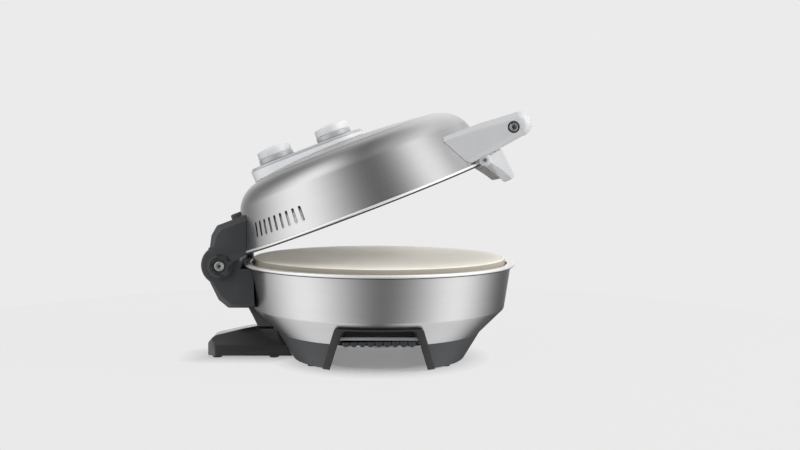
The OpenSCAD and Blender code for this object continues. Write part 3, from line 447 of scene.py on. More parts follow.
class Graph:
    """The nodes of one material."""

    def __init__(self, name: str) -> None:
        """Starts a material with a Principled shader."""
        self.material = bpy.data.materials.new(name)
        self.material.use_nodes = True
        self.tree = self.material.node_tree
        self.tree.nodes.clear()
        self.shader = self.tree.nodes.new("ShaderNodeBsdfPrincipled")
        self.output = self.tree.nodes.new("ShaderNodeOutputMaterial")
        self.show(self.shader)

    @classmethod
    def of_world(cls, world: bpy.types.World) -> "Graph":
        """Starts on a world's tree."""
        made = cls.__new__(cls)
        made.tree = world.node_tree
        made.tree.nodes.clear()
        made.output = made.tree.nodes.new("ShaderNodeOutputWorld")
        return made

    def show(self, shader: bpy.types.Node) -> None:
        """Makes a shader node the visible surface."""
        self.tree.links.new(shader.outputs[0], self.output.inputs["Surface"])

    def node(self, kind: str, settings: dict | None = None, inputs: dict | None = None
             ) -> bpy.types.Node:
        """Adds a node.

        Args:
            kind: the node's type, without its ShaderNode prefix.
            settings: its properties, set first.
            inputs: values or links of its sockets, by name or number.

        Returns:
            The new node.
        """
        made = self.tree.nodes.new("ShaderNode" + kind)
        for key, value in (settings or {}).items():
            setattr(made, key, value)
        for key, value in (inputs or {}).items():
            self.feed(made.inputs[key], value)
        return made

    def feed(self, socket: bpy.types.NodeSocket, value: object) -> None:
        """Sets or links a socket; a colour may come as three numbers."""
        if isinstance(value, Socket):
            self.tree.links.new(value.socket, socket)
        elif isinstance(value, bpy.types.NodeSocket):
            self.tree.links.new(value, socket)
        elif isinstance(value, tuple) and len(value) == 3 and len(socket.default_value) == 4:
            socket.default_value = (*value, 1.0)
        else:
            socket.default_value = value

    def get(self, kind: str, settings: dict | None = None, inputs: dict | None = None,
            out: str | int = 0) -> "Socket":
        """Adds a node and returns one of its outputs, ready for arithmetic."""
        return Socket(self, self.node(kind, settings, inputs).outputs[out])

    def axes(self, vector: "Socket") -> list["Socket"]:
        """The three parts of a vector."""
        parts = self.node("SeparateXYZ", inputs={0: vector})
        return [Socket(self, parts.outputs[i]) for i in range(3)]

    def place(self, stretch: Point = (1, 1, 1)) -> "Socket":
        """Object coordinates, in metres and then stretched."""
        spot = self.get("TexCoord", out="Object")
        return self.get("Mapping", {"vector_type": "POINT"}, {"Vector": spot, "Scale": tuple(stretch)})

    def round_place(self, around: float, across: float) -> "Socket":
        """Map coordinates wrapped on a circle: (around cos 2 pi u, around sin 2 pi u, across v)."""
        u, v, _ = self.axes(self.get("UVMap"))
        turn = u * FULL_TURN
        return self.get("CombineXYZ", inputs={
            0: turn.function("COSINE") * around, 1: turn.function("SINE") * around, 2: v * across})

    def noise(self, vector: "Socket", scale: float, detail: float = 3, roughness: float = 0.5
              ) -> "Socket":
        """Noise from 0 to 1 at a vector."""
        return self.get("TexNoise", inputs={
            "Vector": vector, "Scale": scale, "Detail": detail, "Roughness": roughness})

    def blend(self, amount: "Socket", first: object, second: object) -> "Socket":
        """Mixes two colours."""
        return self.get("Mix", {"data_type": "RGBA"}, {0: amount, 6: first, 7: second}, out=2)

    def grey(self, light: "Socket") -> "Socket":
        """A grey of a value."""
        return self.get("CombineColor", inputs={0: light, 1: light, 2: light})

    def ramp(self, value: "Socket", low: float, high: float) -> "Socket":
        """Stretches the stretch of a value from low to high over 0 to 1, and clips the rest."""
        return self.get("MapRange", {"clamp": True}, {0: value, 1: low, 2: high, 3: 0.0, 4: 1.0})

    def bump(self, height: "Socket", strength: float, depth: float) -> "Socket":
        """A bumped normal, from a height in parts of a depth in millimetres."""
        return self.get("Bump", inputs={"Height": height, "Strength": strength, "Distance": depth * MM})

    def finish(self, **inputs: object) -> bpy.types.Material:
        """Feeds the shader's sockets, named with underscores for spaces, and returns the material."""
        for key, value in inputs.items():
            self.feed(self.shader.inputs[key.replace("_", " ")], value)
        return self.material


class Socket:
    """An output of a node, with arithmetic that adds Math nodes."""

    def __init__(self, graph: Graph, socket: bpy.types.NodeSocket) -> None:
        """Wraps a node's output."""
        self.graph = graph
        self.socket = socket

    def function(self, operation: str, *others: object) -> "Socket":
        """Adds a Math node of an operation on this value and others."""
        return self.graph.get("Math", {"operation": operation}, dict(enumerate((self, *others))))

    def __add__(self, other: object) -> "Socket":
        """This value plus another."""
        return self.function("ADD", other)

    def __mul__(self, other: object) -> "Socket":
        """This value times another."""
        return self.function("MULTIPLY", other)

    def __sub__(self, other: object) -> "Socket":
        """This value minus another."""
        return self.function("SUBTRACT", other)

    def __truediv__(self, other: object) -> "Socket":
        """This value divided by another."""
        return self.function("DIVIDE", other)

    def __rsub__(self, other: float) -> "Socket":
        """A number minus this value."""
        return self.graph.get("Math", {"operation": "SUBTRACT"}, {0: other, 1: self})

    def __abs__(self) -> "Socket":
        """This value without its sign."""
        return self.function("ABSOLUTE")

    def most(self, other: object) -> "Socket":
        """The larger one of this value and another."""
        return self.function("MAXIMUM", other)

    def lobe(self) -> "Socket":
        """A bell over this value v: exp(-v^2)."""
        return (self * self * -1.0).function("EXPONENT")

    @staticmethod
    def length(x: "Socket", y: "Socket") -> "Socket":
        """The length of a flat vector: sqrt(x^2 + y^2)."""
        return (x * x + y * y).function("SQRT")


# ---------------------------------------------------------------- finishes

Colour = tuple[float, float, float]


def toned(colour: Colour, share: float) -> Colour:
    """A colour times a share, held at white."""
    return tuple(min(1.0, c * share) for c in colour)


@dataclass(frozen=True)
class Moulded:
    """A moulded, painted or cast finish with a fine grain.

    Attributes:
        name: name of the material.
        colour: base colour, as linear light.
        rough: roughness.
        metal: how metallic it is.
        grain: size of the grain in millimetres.
        depth: depth of the grain in millimetres.
        coat: weight of a clear coat.
        mottle: how far the colour wanders, as a share.
        coat_rough: roughness of the clear coat.
    """

    name: str
    colour: Colour
    rough: float = 0.45
    metal: float = 0.0
    grain: float = 0.8
    depth: float = 0.03
    coat: float = 0.0
    mottle: float = 0.08
    coat_rough: float = 0.12

    def material(self) -> bpy.types.Material:
        """Builds the material."""
        g = Graph(self.name)
        spot = g.place()
        broad = g.noise(spot, 16, 4)
        fine = g.noise(spot, 1 / (self.grain * MM), 2)
        dark, light = toned(self.colour, 1 - self.mottle), toned(self.colour, 1 + self.mottle)
        return g.finish(
            Metallic=self.metal,
            Coat_Weight=self.coat,
            Coat_Roughness=self.coat_rough,
            Base_Color=g.blend(g.ramp(broad, 0.3, 0.7), dark, light),
            Roughness=(broad - 0.5) * 0.14 + (fine - 0.5) * 0.08 + self.rough,
            Normal=g.bump(fine, 0.5, self.depth))


@dataclass(frozen=True)
class Brushed:
    """Sheet metal brushed round its axis, with fine lines that follow the turn.

    Attributes:
        name: name of the material.
        colour: base colour, as linear light.
        rough: roughness.
        line: width of a brushed line in millimetres.
        spread: how much wider highlights are across the lines than along them.
        turns: how many lengths of line go round once.
    """

    name: str
    colour: Colour
    rough: float = 0.3
    line: float = 0.45
    spread: float = 0.7
    turns: float = 2.2

    def material(self) -> bpy.types.Material:
        """Builds the material."""
        g = Graph(self.name)
        lines = g.noise(g.round_place(self.turns, 1 / self.line), 1, 3, 0.6)
        streaks = g.noise(g.round_place(self.turns * 0.6, 0.16), 1, 3)
        cloud = g.noise(g.place(), 9, 3)
        tone = g.ramp(lines * 0.5 + streaks * 0.5, 0.35, 0.65)
        return g.finish(
            Metallic=1.0,
            Anisotropic=self.spread,
            Anisotropic_Rotation=0.25,
            Base_Color=g.blend(tone, toned(self.colour, 0.95), self.colour),
            Roughness=(lines - 0.5) * 0.1 + (cloud - 0.5) * 0.06 + self.rough,
            Normal=g.bump(lines, 0.15, 0.02))


@dataclass(frozen=True)
class Straight:
    """Metal drawn or ground along one axis, or with no lines at all.

    Attributes:
        name: name of the material.
        colour: base colour, as linear light.
        rough: roughness.
        along: stretch of the noise on X, Y and Z; the smaller, the longer the lines run that way.
        smudge: how far the roughness wanders.
    """

    name: str
    colour: Colour
    rough: float = 0.25
    along: tuple[float, float, float] = (1.0, 1.0, 1.0)
    smudge: float = 0.12

    def material(self) -> bpy.types.Material:
        """Builds the material."""
        g = Graph(self.name)
        lines = g.noise(g.place(self.along), 700, 3, 0.55)
        cloud = g.noise(g.place(), 22, 4)
        tone = g.ramp(cloud * 0.5 + lines * 0.5, 0.35, 0.65)
        return g.finish(
            Metallic=1.0,
            Base_Color=g.blend(tone, toned(self.colour, 0.88), self.colour),
            Roughness=(lines - 0.5) * 0.1 + (cloud - 0.5) * self.smudge + self.rough,
            Normal=g.bump(lines, 0.2, 0.015))


@dataclass(frozen=True)
class Stoneware:
    """Fired cordierite: a sandy body with pores and a few darker grains, and painted shade on its edge.

    Attributes:
        name: name of the material.
        body: colour of the face, as linear light.
        sand: colour of the sand in the face.
        speck: colour of the darker grains.
        edge: colour below the face, darkened as painted shade, as if lit only from above.
        face_z: height of the face in millimetres.
        wear: height over which the painted shade of the edge goes over into the face's colour.
    """

    name: str = "stone"
    body: Colour = (0.92, 0.885, 0.82)
    sand: Colour = (0.85, 0.81, 0.73)
    speck: Colour = (0.46, 0.39, 0.29)
    edge: Colour = (0.34, 0.31, 0.255)
    face_z: float = 132.2
    wear: float = 0.6

    def material(self) -> bpy.types.Material:
        """Builds the material."""
        g = Graph(self.name)
        spot = g.place()
        cloud = g.noise(spot, 11, 4)
        sand = g.noise(spot, 520, 4, 0.65)
        specks = g.get("TexVoronoi", {"feature": "F1"}, {"Vector": spot, "Scale": 260.0}, "Distance")
        pick = g.noise(spot, 95, 2)
        mask = (1 - g.ramp(specks, 0.10, 0.26)) * g.ramp(pick, 0.50, 0.62)
        grain = g.ramp(cloud * 0.55 + sand * 0.45, 0.36, 0.64)
        # Painted shade: below the face the stone takes the darker edge colour, as if lit only from above.
        lit_share = g.ramp(g.axes(spot)[2], (self.face_z - self.wear) * MM, self.face_z * MM)
        body = g.blend(lit_share, g.blend(grain, toned(self.edge, 0.88), self.edge),
                       g.blend(grain, self.sand, self.body))
        return g.finish(
            Base_Color=g.blend(mask * 0.75, body, self.speck),
            Roughness=(sand - 0.5) * 0.2 + 0.82,
            Normal=g.bump(sand - mask * 0.6, 0.6, 0.12))


FINISHES = {finish.name: finish for finish in (
    Brushed("brushed_steel", (0.62, 0.615, 0.62)),
    Brushed("pan_steel", (0.70, 0.70, 0.70), 0.38, 0.9, 0.4),
    Moulded("polished_steel", (0.90, 0.895, 0.885), 0.22, 0.4, 0.6, 0.006, 0.3, 0.03),
    Straight("screw_steel", (0.50, 0.51, 0.53), 0.28),
    Straight("shaft_steel", (0.50, 0.50, 0.52), 0.28, (1.0, 0.08, 1.0)),
    Straight("zinc_bracket", (0.48, 0.49, 0.51), 0.42, smudge=0.3),
    Straight("heater_tube", (0.10, 0.095, 0.10), 0.46, smudge=0.3),
    Straight("brass_part", (0.62, 0.43, 0.17), 0.3),
    Straight("grip_metal", (0.56, 0.57, 0.58), 0.33, (1.0, 0.05, 1.0)),
    Moulded("dark_plastic", (0.039, 0.043, 0.047), 0.4, depth=0.05),
    Moulded("foot_gloss", (0.010, 0.0105, 0.0115), 0.22, coat=1.0, depth=0.01),
    Moulded("seal_black", (0.018, 0.018, 0.019), 0.6, grain=1.2),
    Moulded("grip_plastic", (0.40, 0.41, 0.42), 0.4),
    Moulded("ceramic_body", (0.66, 0.61, 0.52), 0.5),
    Moulded("silver_plastic", (0.60, 0.605, 0.615), 0.36, 0.25, 0.5, 0.012, 0.25, 0.03),
    Moulded("pale_plastic", (0.83, 0.85, 0.87), 0.26, 0.05, 0.6, 0.01, 0.4, 0.03),
    Moulded("skirt_plastic", (0.45, 0.475, 0.49), 0.28, 0.3, 0.6, 0.01, 0.3, 0.04),
    Moulded("lamp_lens", (0.50, 0.03, 0.02), 0.14, coat=0.8, depth=0.004),
    Stoneware(),
)}
# The knobs and the fascia share a slot with other pieces, and are a shade darker than these.
FINISHES |= {
    "knob_plastic": replace(FINISHES["pale_plastic"], colour=(0.66, 0.67, 0.685), rough=0.3, coat=0.3),
    "fascia_plastic": replace(FINISHES["silver_plastic"], colour=(0.50, 0.51, 0.52), coat=0.2),
}


class Shop:
    """Keeps the finished materials, and dresses and mounts the pieces."""

    def __init__(self) -> None:
        """Starts with no material made."""
        self.made: dict[str, bpy.types.Material] = {}
        self.stood_for: set[str] = set()

    def material(self, finish: str) -> bpy.types.Material:
        """Returns a finish's material, made when it is first asked for."""
        if finish not in self.made:
            self.made[finish] = FINISHES[finish].material()
        return self.made[finish]

    def mount(self, obj: Piece, body: str, finish: str, node: str, angle: float = SHARP) -> None:
        """Dresses a new piece and lets it ride on its body.

        Args:
            obj: the piece.
            body: name of the body.
                finish: key of the finish, whose own name is its slot.
            node: the CAD node that it stands for.
            angle: the turn past which an edge stays sharp, in degrees.
        """
        obj.data.shade_smooth()
        obj.data.set_sharp_from_angle(angle=math.radians(angle))
        obj.data.materials.clear()
        obj.data.materials.append(self.material(finish))
        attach(obj, body)
        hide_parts(node)
        self.stood_for.add(node)
        LOG.info("%s: %d faces, %s", obj.name, len(obj.data.polygons), finish)

    def mount_closed(self, obj: Piece, body: str, finish: str, node: str, angle: float = SHARP) -> None:
        """Mounts a piece that is drawn for the closed lid, turned to the lid's rest angle."""
        self.mount(Maker.moved(obj, LID.opened), body, finish, node, angle)

    def dress_kept_nodes(self) -> None:
        """Gives each CAD node that still shows the finish of its slot."""
        slots = {row["node"]: row["material_slot"] for row in frame["record"]["subparts"]}
        for name, obj in frame["nodes"].items():
            if name in self.stood_for:
                continue
            finish = slots[name]
            for place in obj.material_slots:
                place.material = self.material(finish)
            LOG.info("%s: kept, %s", name, finish)


# ---------------------------------------------------------------- sizes and shared outlines


@dataclass(frozen=True)
class Form:
    """Sizes that more than one sub-assembly needs, in millimetres.

    Of the base: foot_r at the table, shell_r at plinth_z, break_r at break_z and wall_r at wall_z are
    its outline, and rim_r, rim_in_r, rim_h and rim_z its rim. Of the closed lid: lid_wall_r at
    lid_wall_z, crease_r at crease_z and dome_r at dome_z are its outline up to the domed top. The
    steel is as thick as sheet, a seated piece keeps the gap seat, and the solids that cut such pieces
    go past the rim by past.
    """

    rim_r: float = 178.0
    rim_z: float = 127.0
    rim_in_r: float = 167.5
    rim_h: float = 4.0
    foot_r: float = 111.7
    shell_r: float = 133.7
    plinth_z: float = 37.0
    break_r: float = 164.4
    break_z: float = 68.0
    wall_r: float = 172.4
    wall_z: float = 122.0
    lid_z: float = 127.7
    lid_wall_r: float = 176.8
    lid_wall_z: float = 132.3
    crease_r: float = 157.0
    crease_z: float = 184.5
    dome_r: float = 127.0
    dome_z: float = 208.5
    top_z: float = 217.7
    sheet: float = 1.0
    seat: float = 0.25
    past: float = 30.0

    @property
    def flare(self) -> float:
        """How far the bowl's sloping part reaches out."""
        return self.break_r - self.shell_r

    def dome(self, r: Array) -> Array:
        """Height of the domed top: the cap of a ball through the rim of the dome and the top."""
        rise = self.top_z - self.dome_z
        ball = (self.dome_r ** 2 + rise ** 2) / (2 * rise)
        return self.top_z - ball + np.sqrt(ball ** 2 - np.asarray(r, float) ** 2)

    def lid_side(self, out: float = 0.0) -> Array:
        """Outline of the closed lid from the foot of its wall to the top, moved outwards by a size."""
        wall = np.array([[self.lid_wall_r, self.lid_wall_z], [self.crease_r, self.crease_z]])
        lean = (wall[1] - wall[0]) / np.linalg.norm(wall[1] - wall[0])
        foot = subdivided(np.array([wall[0], wall[1] - lean * 0.7]), 9, closed=False)
        pull = (self.crease_r - 9, self.crease_z + 18)
        shoulder = bezier(wall[1], pull, (self.dome_r, self.dome_z - 0.8), 14)
        r = self.dome_r * (1 - np.linspace(0.012, 1, 16))
        line = np.concatenate([foot, shoulder, np.stack([r, self.dome(r)], 1)])
        side = np.gradient(line, axis=0)
        normal = np.stack([side[:, 1], -side[:, 0]], 1) / np.linalg.norm(side, axis=1)[:, None]
        normal[-1] = (0.0, 1.0)
        return line + normal * out

    def lid_height(self, r: Array) -> Array:
        """Height of the closed lid's outer surface at a radius."""
        side = self.lid_side()[::-1]
        return np.interp(r, side[:, 0], side[:, 1])

    def lid_envelope(self, out: float) -> Piece:
        """A solid of the closed lid, grown outwards, with which pieces that sit on the lid are cut."""
        low, r = self.lid_z - self.past, self.rim_r + out
        corners = [[0.0, low], [r, low], [r, self.lid_wall_z]]
        return Maker.turned("cut_lid", np.concatenate([corners, self.lid_side(out)]), 240)

    def base_envelope(self, out: float) -> Piece:
        """A solid of the base, grown outwards, with which pieces that sit on the base are cut."""
        high, low = self.rim_z + self.past, -1.0
        side = [[0.0, low], [self.foot_r + out, low], [self.shell_r + out, self.plinth_z],
                [self.break_r + out, self.break_z], [self.wall_r + out, self.wall_z],
                [self.rim_r + out, self.wall_z], [self.rim_r + out, high], [0.0, high]]
        return Maker.turned("cut_base", side, 240)


FORM = Form()


@dataclass(frozen=True)
class Arch:
    """The openings on both sides of the base, through which it is carried.

    Attributes:
        width: width at the table.
        top_width: width at the upper side.
        top_z: height of the upper side.
        frame: width of the posts of the frame round it.
        depth_y: Y of the hollow's back.
        outside_y: a Y outside the base.
        corner: radius of the upper corners.
    """

    width: float = 140.0
    top_width: float = 104.0
    top_z: float = 61.0
    frame: float = 9.0
    depth_y: float = -97.7
    outside_y: float = -190.0
    corner: float = 7.0

    def half(self, inset: float, height: float) -> float:
        """Half the width of the opening at a height, when its sides are drawn in by an inset."""
        slope = (self.width - self.top_width) / 2 / self.top_z
        return self.width / 2 - slope * height - inset * math.sqrt(1 + slope ** 2)

    def outline(self, inset: float, low: float) -> Array:
        """Trapezium of the opening in X and Z with rounded upper corners, drawn in by an inset.

        The upper side is drawn in by less than the posts are. A negative inset grows all sides alike.
        """
        drop = float(np.interp(inset, [0, 1, 9, 12], [0, 0.6, 2.4, 4.2])) if inset > 0 else inset
        top = self.top_z - drop
        half_low, half_top = self.half(inset, low), self.half(inset, top)
        bend = max(self.corner - inset * 0.2, 1.5)
        corners = [[-half_low, low], [half_low, low], [half_top, top], [-half_top, top]]
        return fillet(corners, [0, 0, bend, bend], 7)

    def solid(self, name: str, inset: float, low: float, y_in: float) -> Piece:
        """The near opening as a solid, from outside the base in to a depth."""
        return Maker.prism(name, self.outline(inset, low), Plane.XZ, self.outside_y, y_in)

    def cutters(self, inset: float, y_in: float) -> tuple[Piece, Piece]:
        """The solids that cut both openings, from below the table up."""
        return Maker.both(self.solid("cut_near", inset, -1, y_in))


ARCH = Arch()


@dataclass
class Assembly:
    """A sub-assembly of the maker.

    Attributes:
        shop: dresses and mounts its pieces.
    """

    shop: Shop

    def build(self) -> None:
        """Makes and mounts all pieces."""
        raise NotImplementedError


# ---------------------------------------------------------------- base


@dataclass
class BaseBody(Assembly):
    """The steel bowl of the base with its rim and seal, and the stone that lies in it."""

    stone_r: float = 165.0
    stone_low: float = 118.5
    stone_top: float = 132.5

    def build(self) -> None:
        """Builds all pieces."""
        self.shop.mount(self.shell(), "base", "brushed_steel", "base_shell", angle=40)
        self.shop.mount(self.rim(), "base", "polished_steel", "base_rim")
        self.shop.mount(self.seal(), "base", "seal_black", "rim_trim")
        self.shop.mount(self.stone(), "stone", "stone", "pizza_stone")

    def shell(self) -> Piece:
        """The sheet: plinth edge, sloping part and wall, with a soft crease, and both arches cut out."""
        f = FORM
        edge_r = f.shell_r - 12
        outer = fillet([[edge_r, f.plinth_z], [f.shell_r, f.plinth_z], [f.break_r, f.break_z],
                        [f.wall_r, f.wall_z]], [0, 1.2, 5.0, 0], 5, closed=False)
        inner = [[f.wall_r - f.sheet, f.wall_z], [f.break_r - f.sheet, f.break_z + 0.4],
                 [f.shell_r - 1.4 * f.sheet, f.plinth_z + f.sheet], [edge_r, f.plinth_z + f.sheet]]
        bowl = Maker.turned("base_bowl", subdivided(np.concatenate([outer, inner]), 12), 256)
        return Maker.cut(bowl, *ARCH.cutters(-f.seat, ARCH.depth_y))

    def rim(self) -> Piece:
        """The rolled rim: a half round outer edge, a barely falling face, and a round inner edge."""
        f = FORM
        round_r, low = f.rim_h / 2, f.rim_z - f.rim_h
        face = bezier((f.rim_r - 2.6, f.rim_z - 0.12), (f.rim_r - 5, f.rim_z),
                      (f.rim_in_r + 2.4, f.rim_z - 0.35), 5)
        return Maker.turned("rim_bead", np.concatenate([
            [[f.rim_in_r, f.wall_z], [f.rim_in_r + 1.5, f.wall_z], [f.rim_in_r + 1.5, low]],
            arc((f.rim_r - round_r, f.rim_z - round_r), round_r, -90, 60, 10), face,
            arc((f.rim_in_r + 1.2, f.rim_z - 1.6), 1.2, 90, 180, 5)]), 256)

    def seal(self) -> Piece:
        """The black seal under the rim's overhang."""
        f = FORM
        inner, outer, high = f.rim_in_r + 1.6, f.rim_r - 1.6, f.rim_z - f.rim_h
        profile = fillet([[inner, f.wall_z], [outer - 1.0, f.wall_z], [outer, f.wall_z + 0.6],
                          [outer, high], [inner, high]], [0, 0.3, 0.3, 0, 0], 3)
        return Maker.turned("rim_seal", profile, 256)

    def stone(self) -> Piece:
        """The baking stone: a disc with rounded edges and a barely sunk face."""
        r, low, top = self.stone_r, self.stone_low, self.stone_top
        edge = fillet([[0, low], [r, low], [r, top], [r - 16, top]], [0, 2.0, 2.2, 0], 6, closed=False)
        face = [[r - 40, top - 0.1], [r * 0.5, top - 0.2], [r * 0.2, top - 0.25], [0, top - 0.25]]
        return Maker.turned("baking_stone", np.concatenate([edge, face]), 256)


@dataclass
class Plinth(Assembly):
    """The plastic plinth with the frames round its arches, and the grips behind them.

    Attributes:
        wall: thickness of the leaning wall.
        pad: gap to the table.
        floor_t: thickness of the floor flange.
        out: how far the frames stand out.
        rib_count: number of ribs of a grip.
        rib_span: distance from the first rib to the last.
        bar_z: height of the grip bar.
    """

    wall: float = 3.0
    pad: float = 1.4
    floor_t: float = 5.0
    out: float = 4.0
    rib_count: int = 9
    rib_span: float = 79.0
    bar_z: float = 40.0

    def build(self) -> None:
        """Builds all pieces."""
        self.shop.mount(self.ring(), "base", "dark_plastic", "plinth", angle=38)
        for obj in Maker.both(self.frame_of_arch()):
            self.shop.mount(obj, "base", "seal_black", "plinth", angle=38)
        # The hood is black as painted shade in the hollow behind the grip.
        for part, finish in ((self.hood(), "seal_black"), (self.bar(), "grip_plastic"),
                             # The bar's top is a light grey as its lit side and the ribs below it are dark as
                             # painted shade.
                             (self.ribs(), "dark_plastic")):
            for obj, side in zip(Maker.both(part), ("near", "far")):
                self.shop.mount(obj, "base", finish, f"carry_grip_{side}", angle=40)

    def ring(self) -> Piece:
        """The leaning wall with its floor flange, cut by the arches."""
        f, lean = FORM, (FORM.shell_r - FORM.foot_r) / FORM.plinth_z
        low, high, top = self.pad, self.pad + self.floor_t, f.plinth_z - 0.05
        flange, flange_r = f.plinth_z - 7, f.foot_r - 26
        profile = fillet([
            [f.foot_r - 12, low], [f.foot_r + lean * low, low], [f.shell_r, top], [f.shell_r - 14, top],
            [flange_r, flange + 3], [flange_r, flange], [f.foot_r + lean * flange - self.wall, flange],
            [f.foot_r + lean * high - self.wall, high], [f.foot_r - 12, high],
        ], [0.6, 1.6, 0.5, 0.5, 0.5, 0.5, 1, 1, 0.6], 4)
        half = ARCH.width / 2 - 4
        strip = Maker.block("cut_strip", [-half, -f.foot_r, -1], [half, f.foot_r, high + 0.5])
        return Maker.cut(Maker.turned("plinth_ring", profile, 240), *ARCH.cutters(1, -1), strip)

    def frame_of_arch(self) -> Piece:
        """A raised band round the near arch that follows the slopes of the plinth and of the bowl."""
        f, low_r = FORM, FORM.shell_r + self.out
        band = ARCH.solid("arch_frame_near", 0, self.pad, -(f.foot_r - 40))
        skin = Maker.turned("cut_skin", [
            [f.foot_r - 7, 0], [f.foot_r + self.out, 0], [low_r, f.plinth_z],
            [low_r + f.flare, f.break_z], [f.break_r - 9, f.break_z], [f.shell_r - 9, f.plinth_z]], 240)
        Maker.cut(band, ARCH.solid("cut_hole", ARCH.frame, -1, 0))
        Maker.cut(band, skin, operation="INTERSECT")
        return Maker.bevelled(band, 0.9, 3, 35)

    def hood(self) -> Piece:
        """The hollow behind the near arch: a band inside the frame, closed at the back, in black as painted shade.
        """
        f, inset, low, low_r = FORM, ARCH.frame + FORM.seat, FORM.plinth_z - 3, FORM.shell_r - 3
        hood = ARCH.solid("grip_hood_near", inset, low, ARCH.depth_y - f.seat)
        skin = Maker.turned("cut_skin", [
            [0, 0], [low_r, f.plinth_z], [low_r + f.flare, f.break_z], [0, f.break_z]], 240)
        Maker.cut(hood, skin, operation="INTERSECT")
        return Maker.cut(hood, ARCH.solid("cut_room", inset + 2, low - 1, ARCH.depth_y - 3))

    def across(self, rise: float) -> float:
        """Half the width that the grip bar has between the posts, at a height above bar_z."""
        return ARCH.half(ARCH.frame + 0.3, self.bar_z + rise)

    def bar(self) -> Piece:
        """The flat upper part of the grip bar, in a light grey as its lit side: painted light."""
        r, z, low, high = FORM.shell_r, self.bar_z, self.across(4), self.across(8)
        outline = [[-low, z + 4], [low, z + 4], [high, z + 8], [-high, z + 8]]
        bar = Maker.prism("grip_bar_near", outline, Plane.XZ, -(r + 1), -(r - 10))
        return Maker.bevelled(bar, 0.7, 2, 50)

    def ribs(self) -> Piece:
        """The ribs along the bar's lower edge, in dark plastic as painted shade under the bar.

        The edge is a chain of half circles, z = z0 - sqrt(h^2 - (x - xi)^2) round each rib's middle xi,
        with a notch between each two.
        """
        r, z, low, high = FORM.shell_r, self.bar_z, self.across(0), self.across(4)
        pitch = self.rib_span / (self.rib_count - 1)
        middles = (np.arange(self.rib_count) - (self.rib_count - 1) / 2) * pitch
        half = pitch * 0.43
        edge = [[[x - half, z + 3], *arc((x, z), half, 180, 360, 8), [x + half, z + 3]] for x in middles]
        outline = np.concatenate([[[-high, z + 4], [-low, z]], *edge, [[low, z], [high, z + 4]]])
        ribs = Maker.prism("grip_ribs_near", outline, Plane.XZ, -(r + 0.8), -(r - 10))
        return Maker.bevelled(ribs, 0.7, 2, 50)


@dataclass
class RearStand(Assembly):
    """The foot that reaches out behind the base, and the spine above it.

    Attributes:
        reach: how far the foot's tip lies behind the rim.
        half_w: half the foot's width.
        ridge: half the width of its flat back.
        edge_z: height of its sides.
        spine_half_w: half the spine's width.
        low: gap to the table.
        spine_x: X of the spine where it meets the foot.
        root_z: height of the foot below the spine.
        bracket_z: height of the hinge bracket's lower side.
    """

    reach: float = 46.0
    half_w: float = 18.0
    ridge: float = 10.8
    edge_z: float = 17.0
    spine_half_w: float = 15.0
    low: float = 2.8
    spine_x: float = -158.2
    root_z: float = 41.0
    bracket_z: float = 72.0

    def build(self) -> None:
        """Builds both pieces."""
        self.shop.mount(self.foot(), "base", "foot_gloss", "rear_foot", angle=40)
        self.shop.mount(self.spine(), "base", "dark_plastic", "rear_spine", angle=40)

    def foot(self) -> Piece:
        """A wedge that thins towards its tip, with trimmed corners and rounded edges."""
        f, tip, w, top = FORM, FORM.rim_r + self.reach, self.half_w, self.root_z
        side = fillet([[-tip, self.low], [-f.foot_r, self.low], [-f.foot_r, top], [self.spine_x, top],
                       [self.spine_x - 18, top - 3], [-(tip - 8), self.low + 25.7],
                       [-tip, self.low + 16.2]], [1.5, 0, 0, 6, 12, 16, 7], 8)
        roof = fillet([[-w, 0], [w, 0], [w, self.edge_z], [self.ridge, top], [-self.ridge, top],
                       [-w, self.edge_z]], [0, 0, 3, 7, 7, 3], 6)
        front = -f.foot_r + 2
        plan = fillet([[front, -w], [front, w], [-(tip - 10), w], [-tip, w - 5], [-tip, 5 - w],
                       [-(tip - 10), -w]], [0, 0, 3, 3, 3, 3], 4)
        foot = Maker.prism("stand_foot", side, Plane.XZ, -w, w)
        Maker.cut(foot, Maker.prism("cut_roof", roof, Plane.YZ, -(tip + 1), 0), operation="INTERSECT")
        Maker.cut(foot, Maker.prism("cut_plan", plan, Plane.XY, 0, f.rim_z), operation="INTERSECT")
        Maker.cut(foot, f.base_envelope(f.seat))
        return Maker.bevelled(foot, 0.9, 3, 40)

    def spine(self) -> Piece:
        """A post up the back of the bowl, from the foot to the lower hinge bracket."""
        f, top = FORM, self.bracket_z - 0.1
        side = fillet([[-174.0, top], [-165.5, f.break_z - 12], [self.spine_x, self.root_z],
                       [-f.foot_r, self.root_z], [-f.foot_r, top]], [0, 4, 0, 0, 0], 5)
        spine = Maker.prism("stand_spine", side, Plane.XZ, -self.spine_half_w, self.spine_half_w)
        Maker.cut(spine, f.base_envelope(f.seat))
        return Maker.bevelled(spine, 1.4, 3, 40)


# ---------------------------------------------------------------- hinge


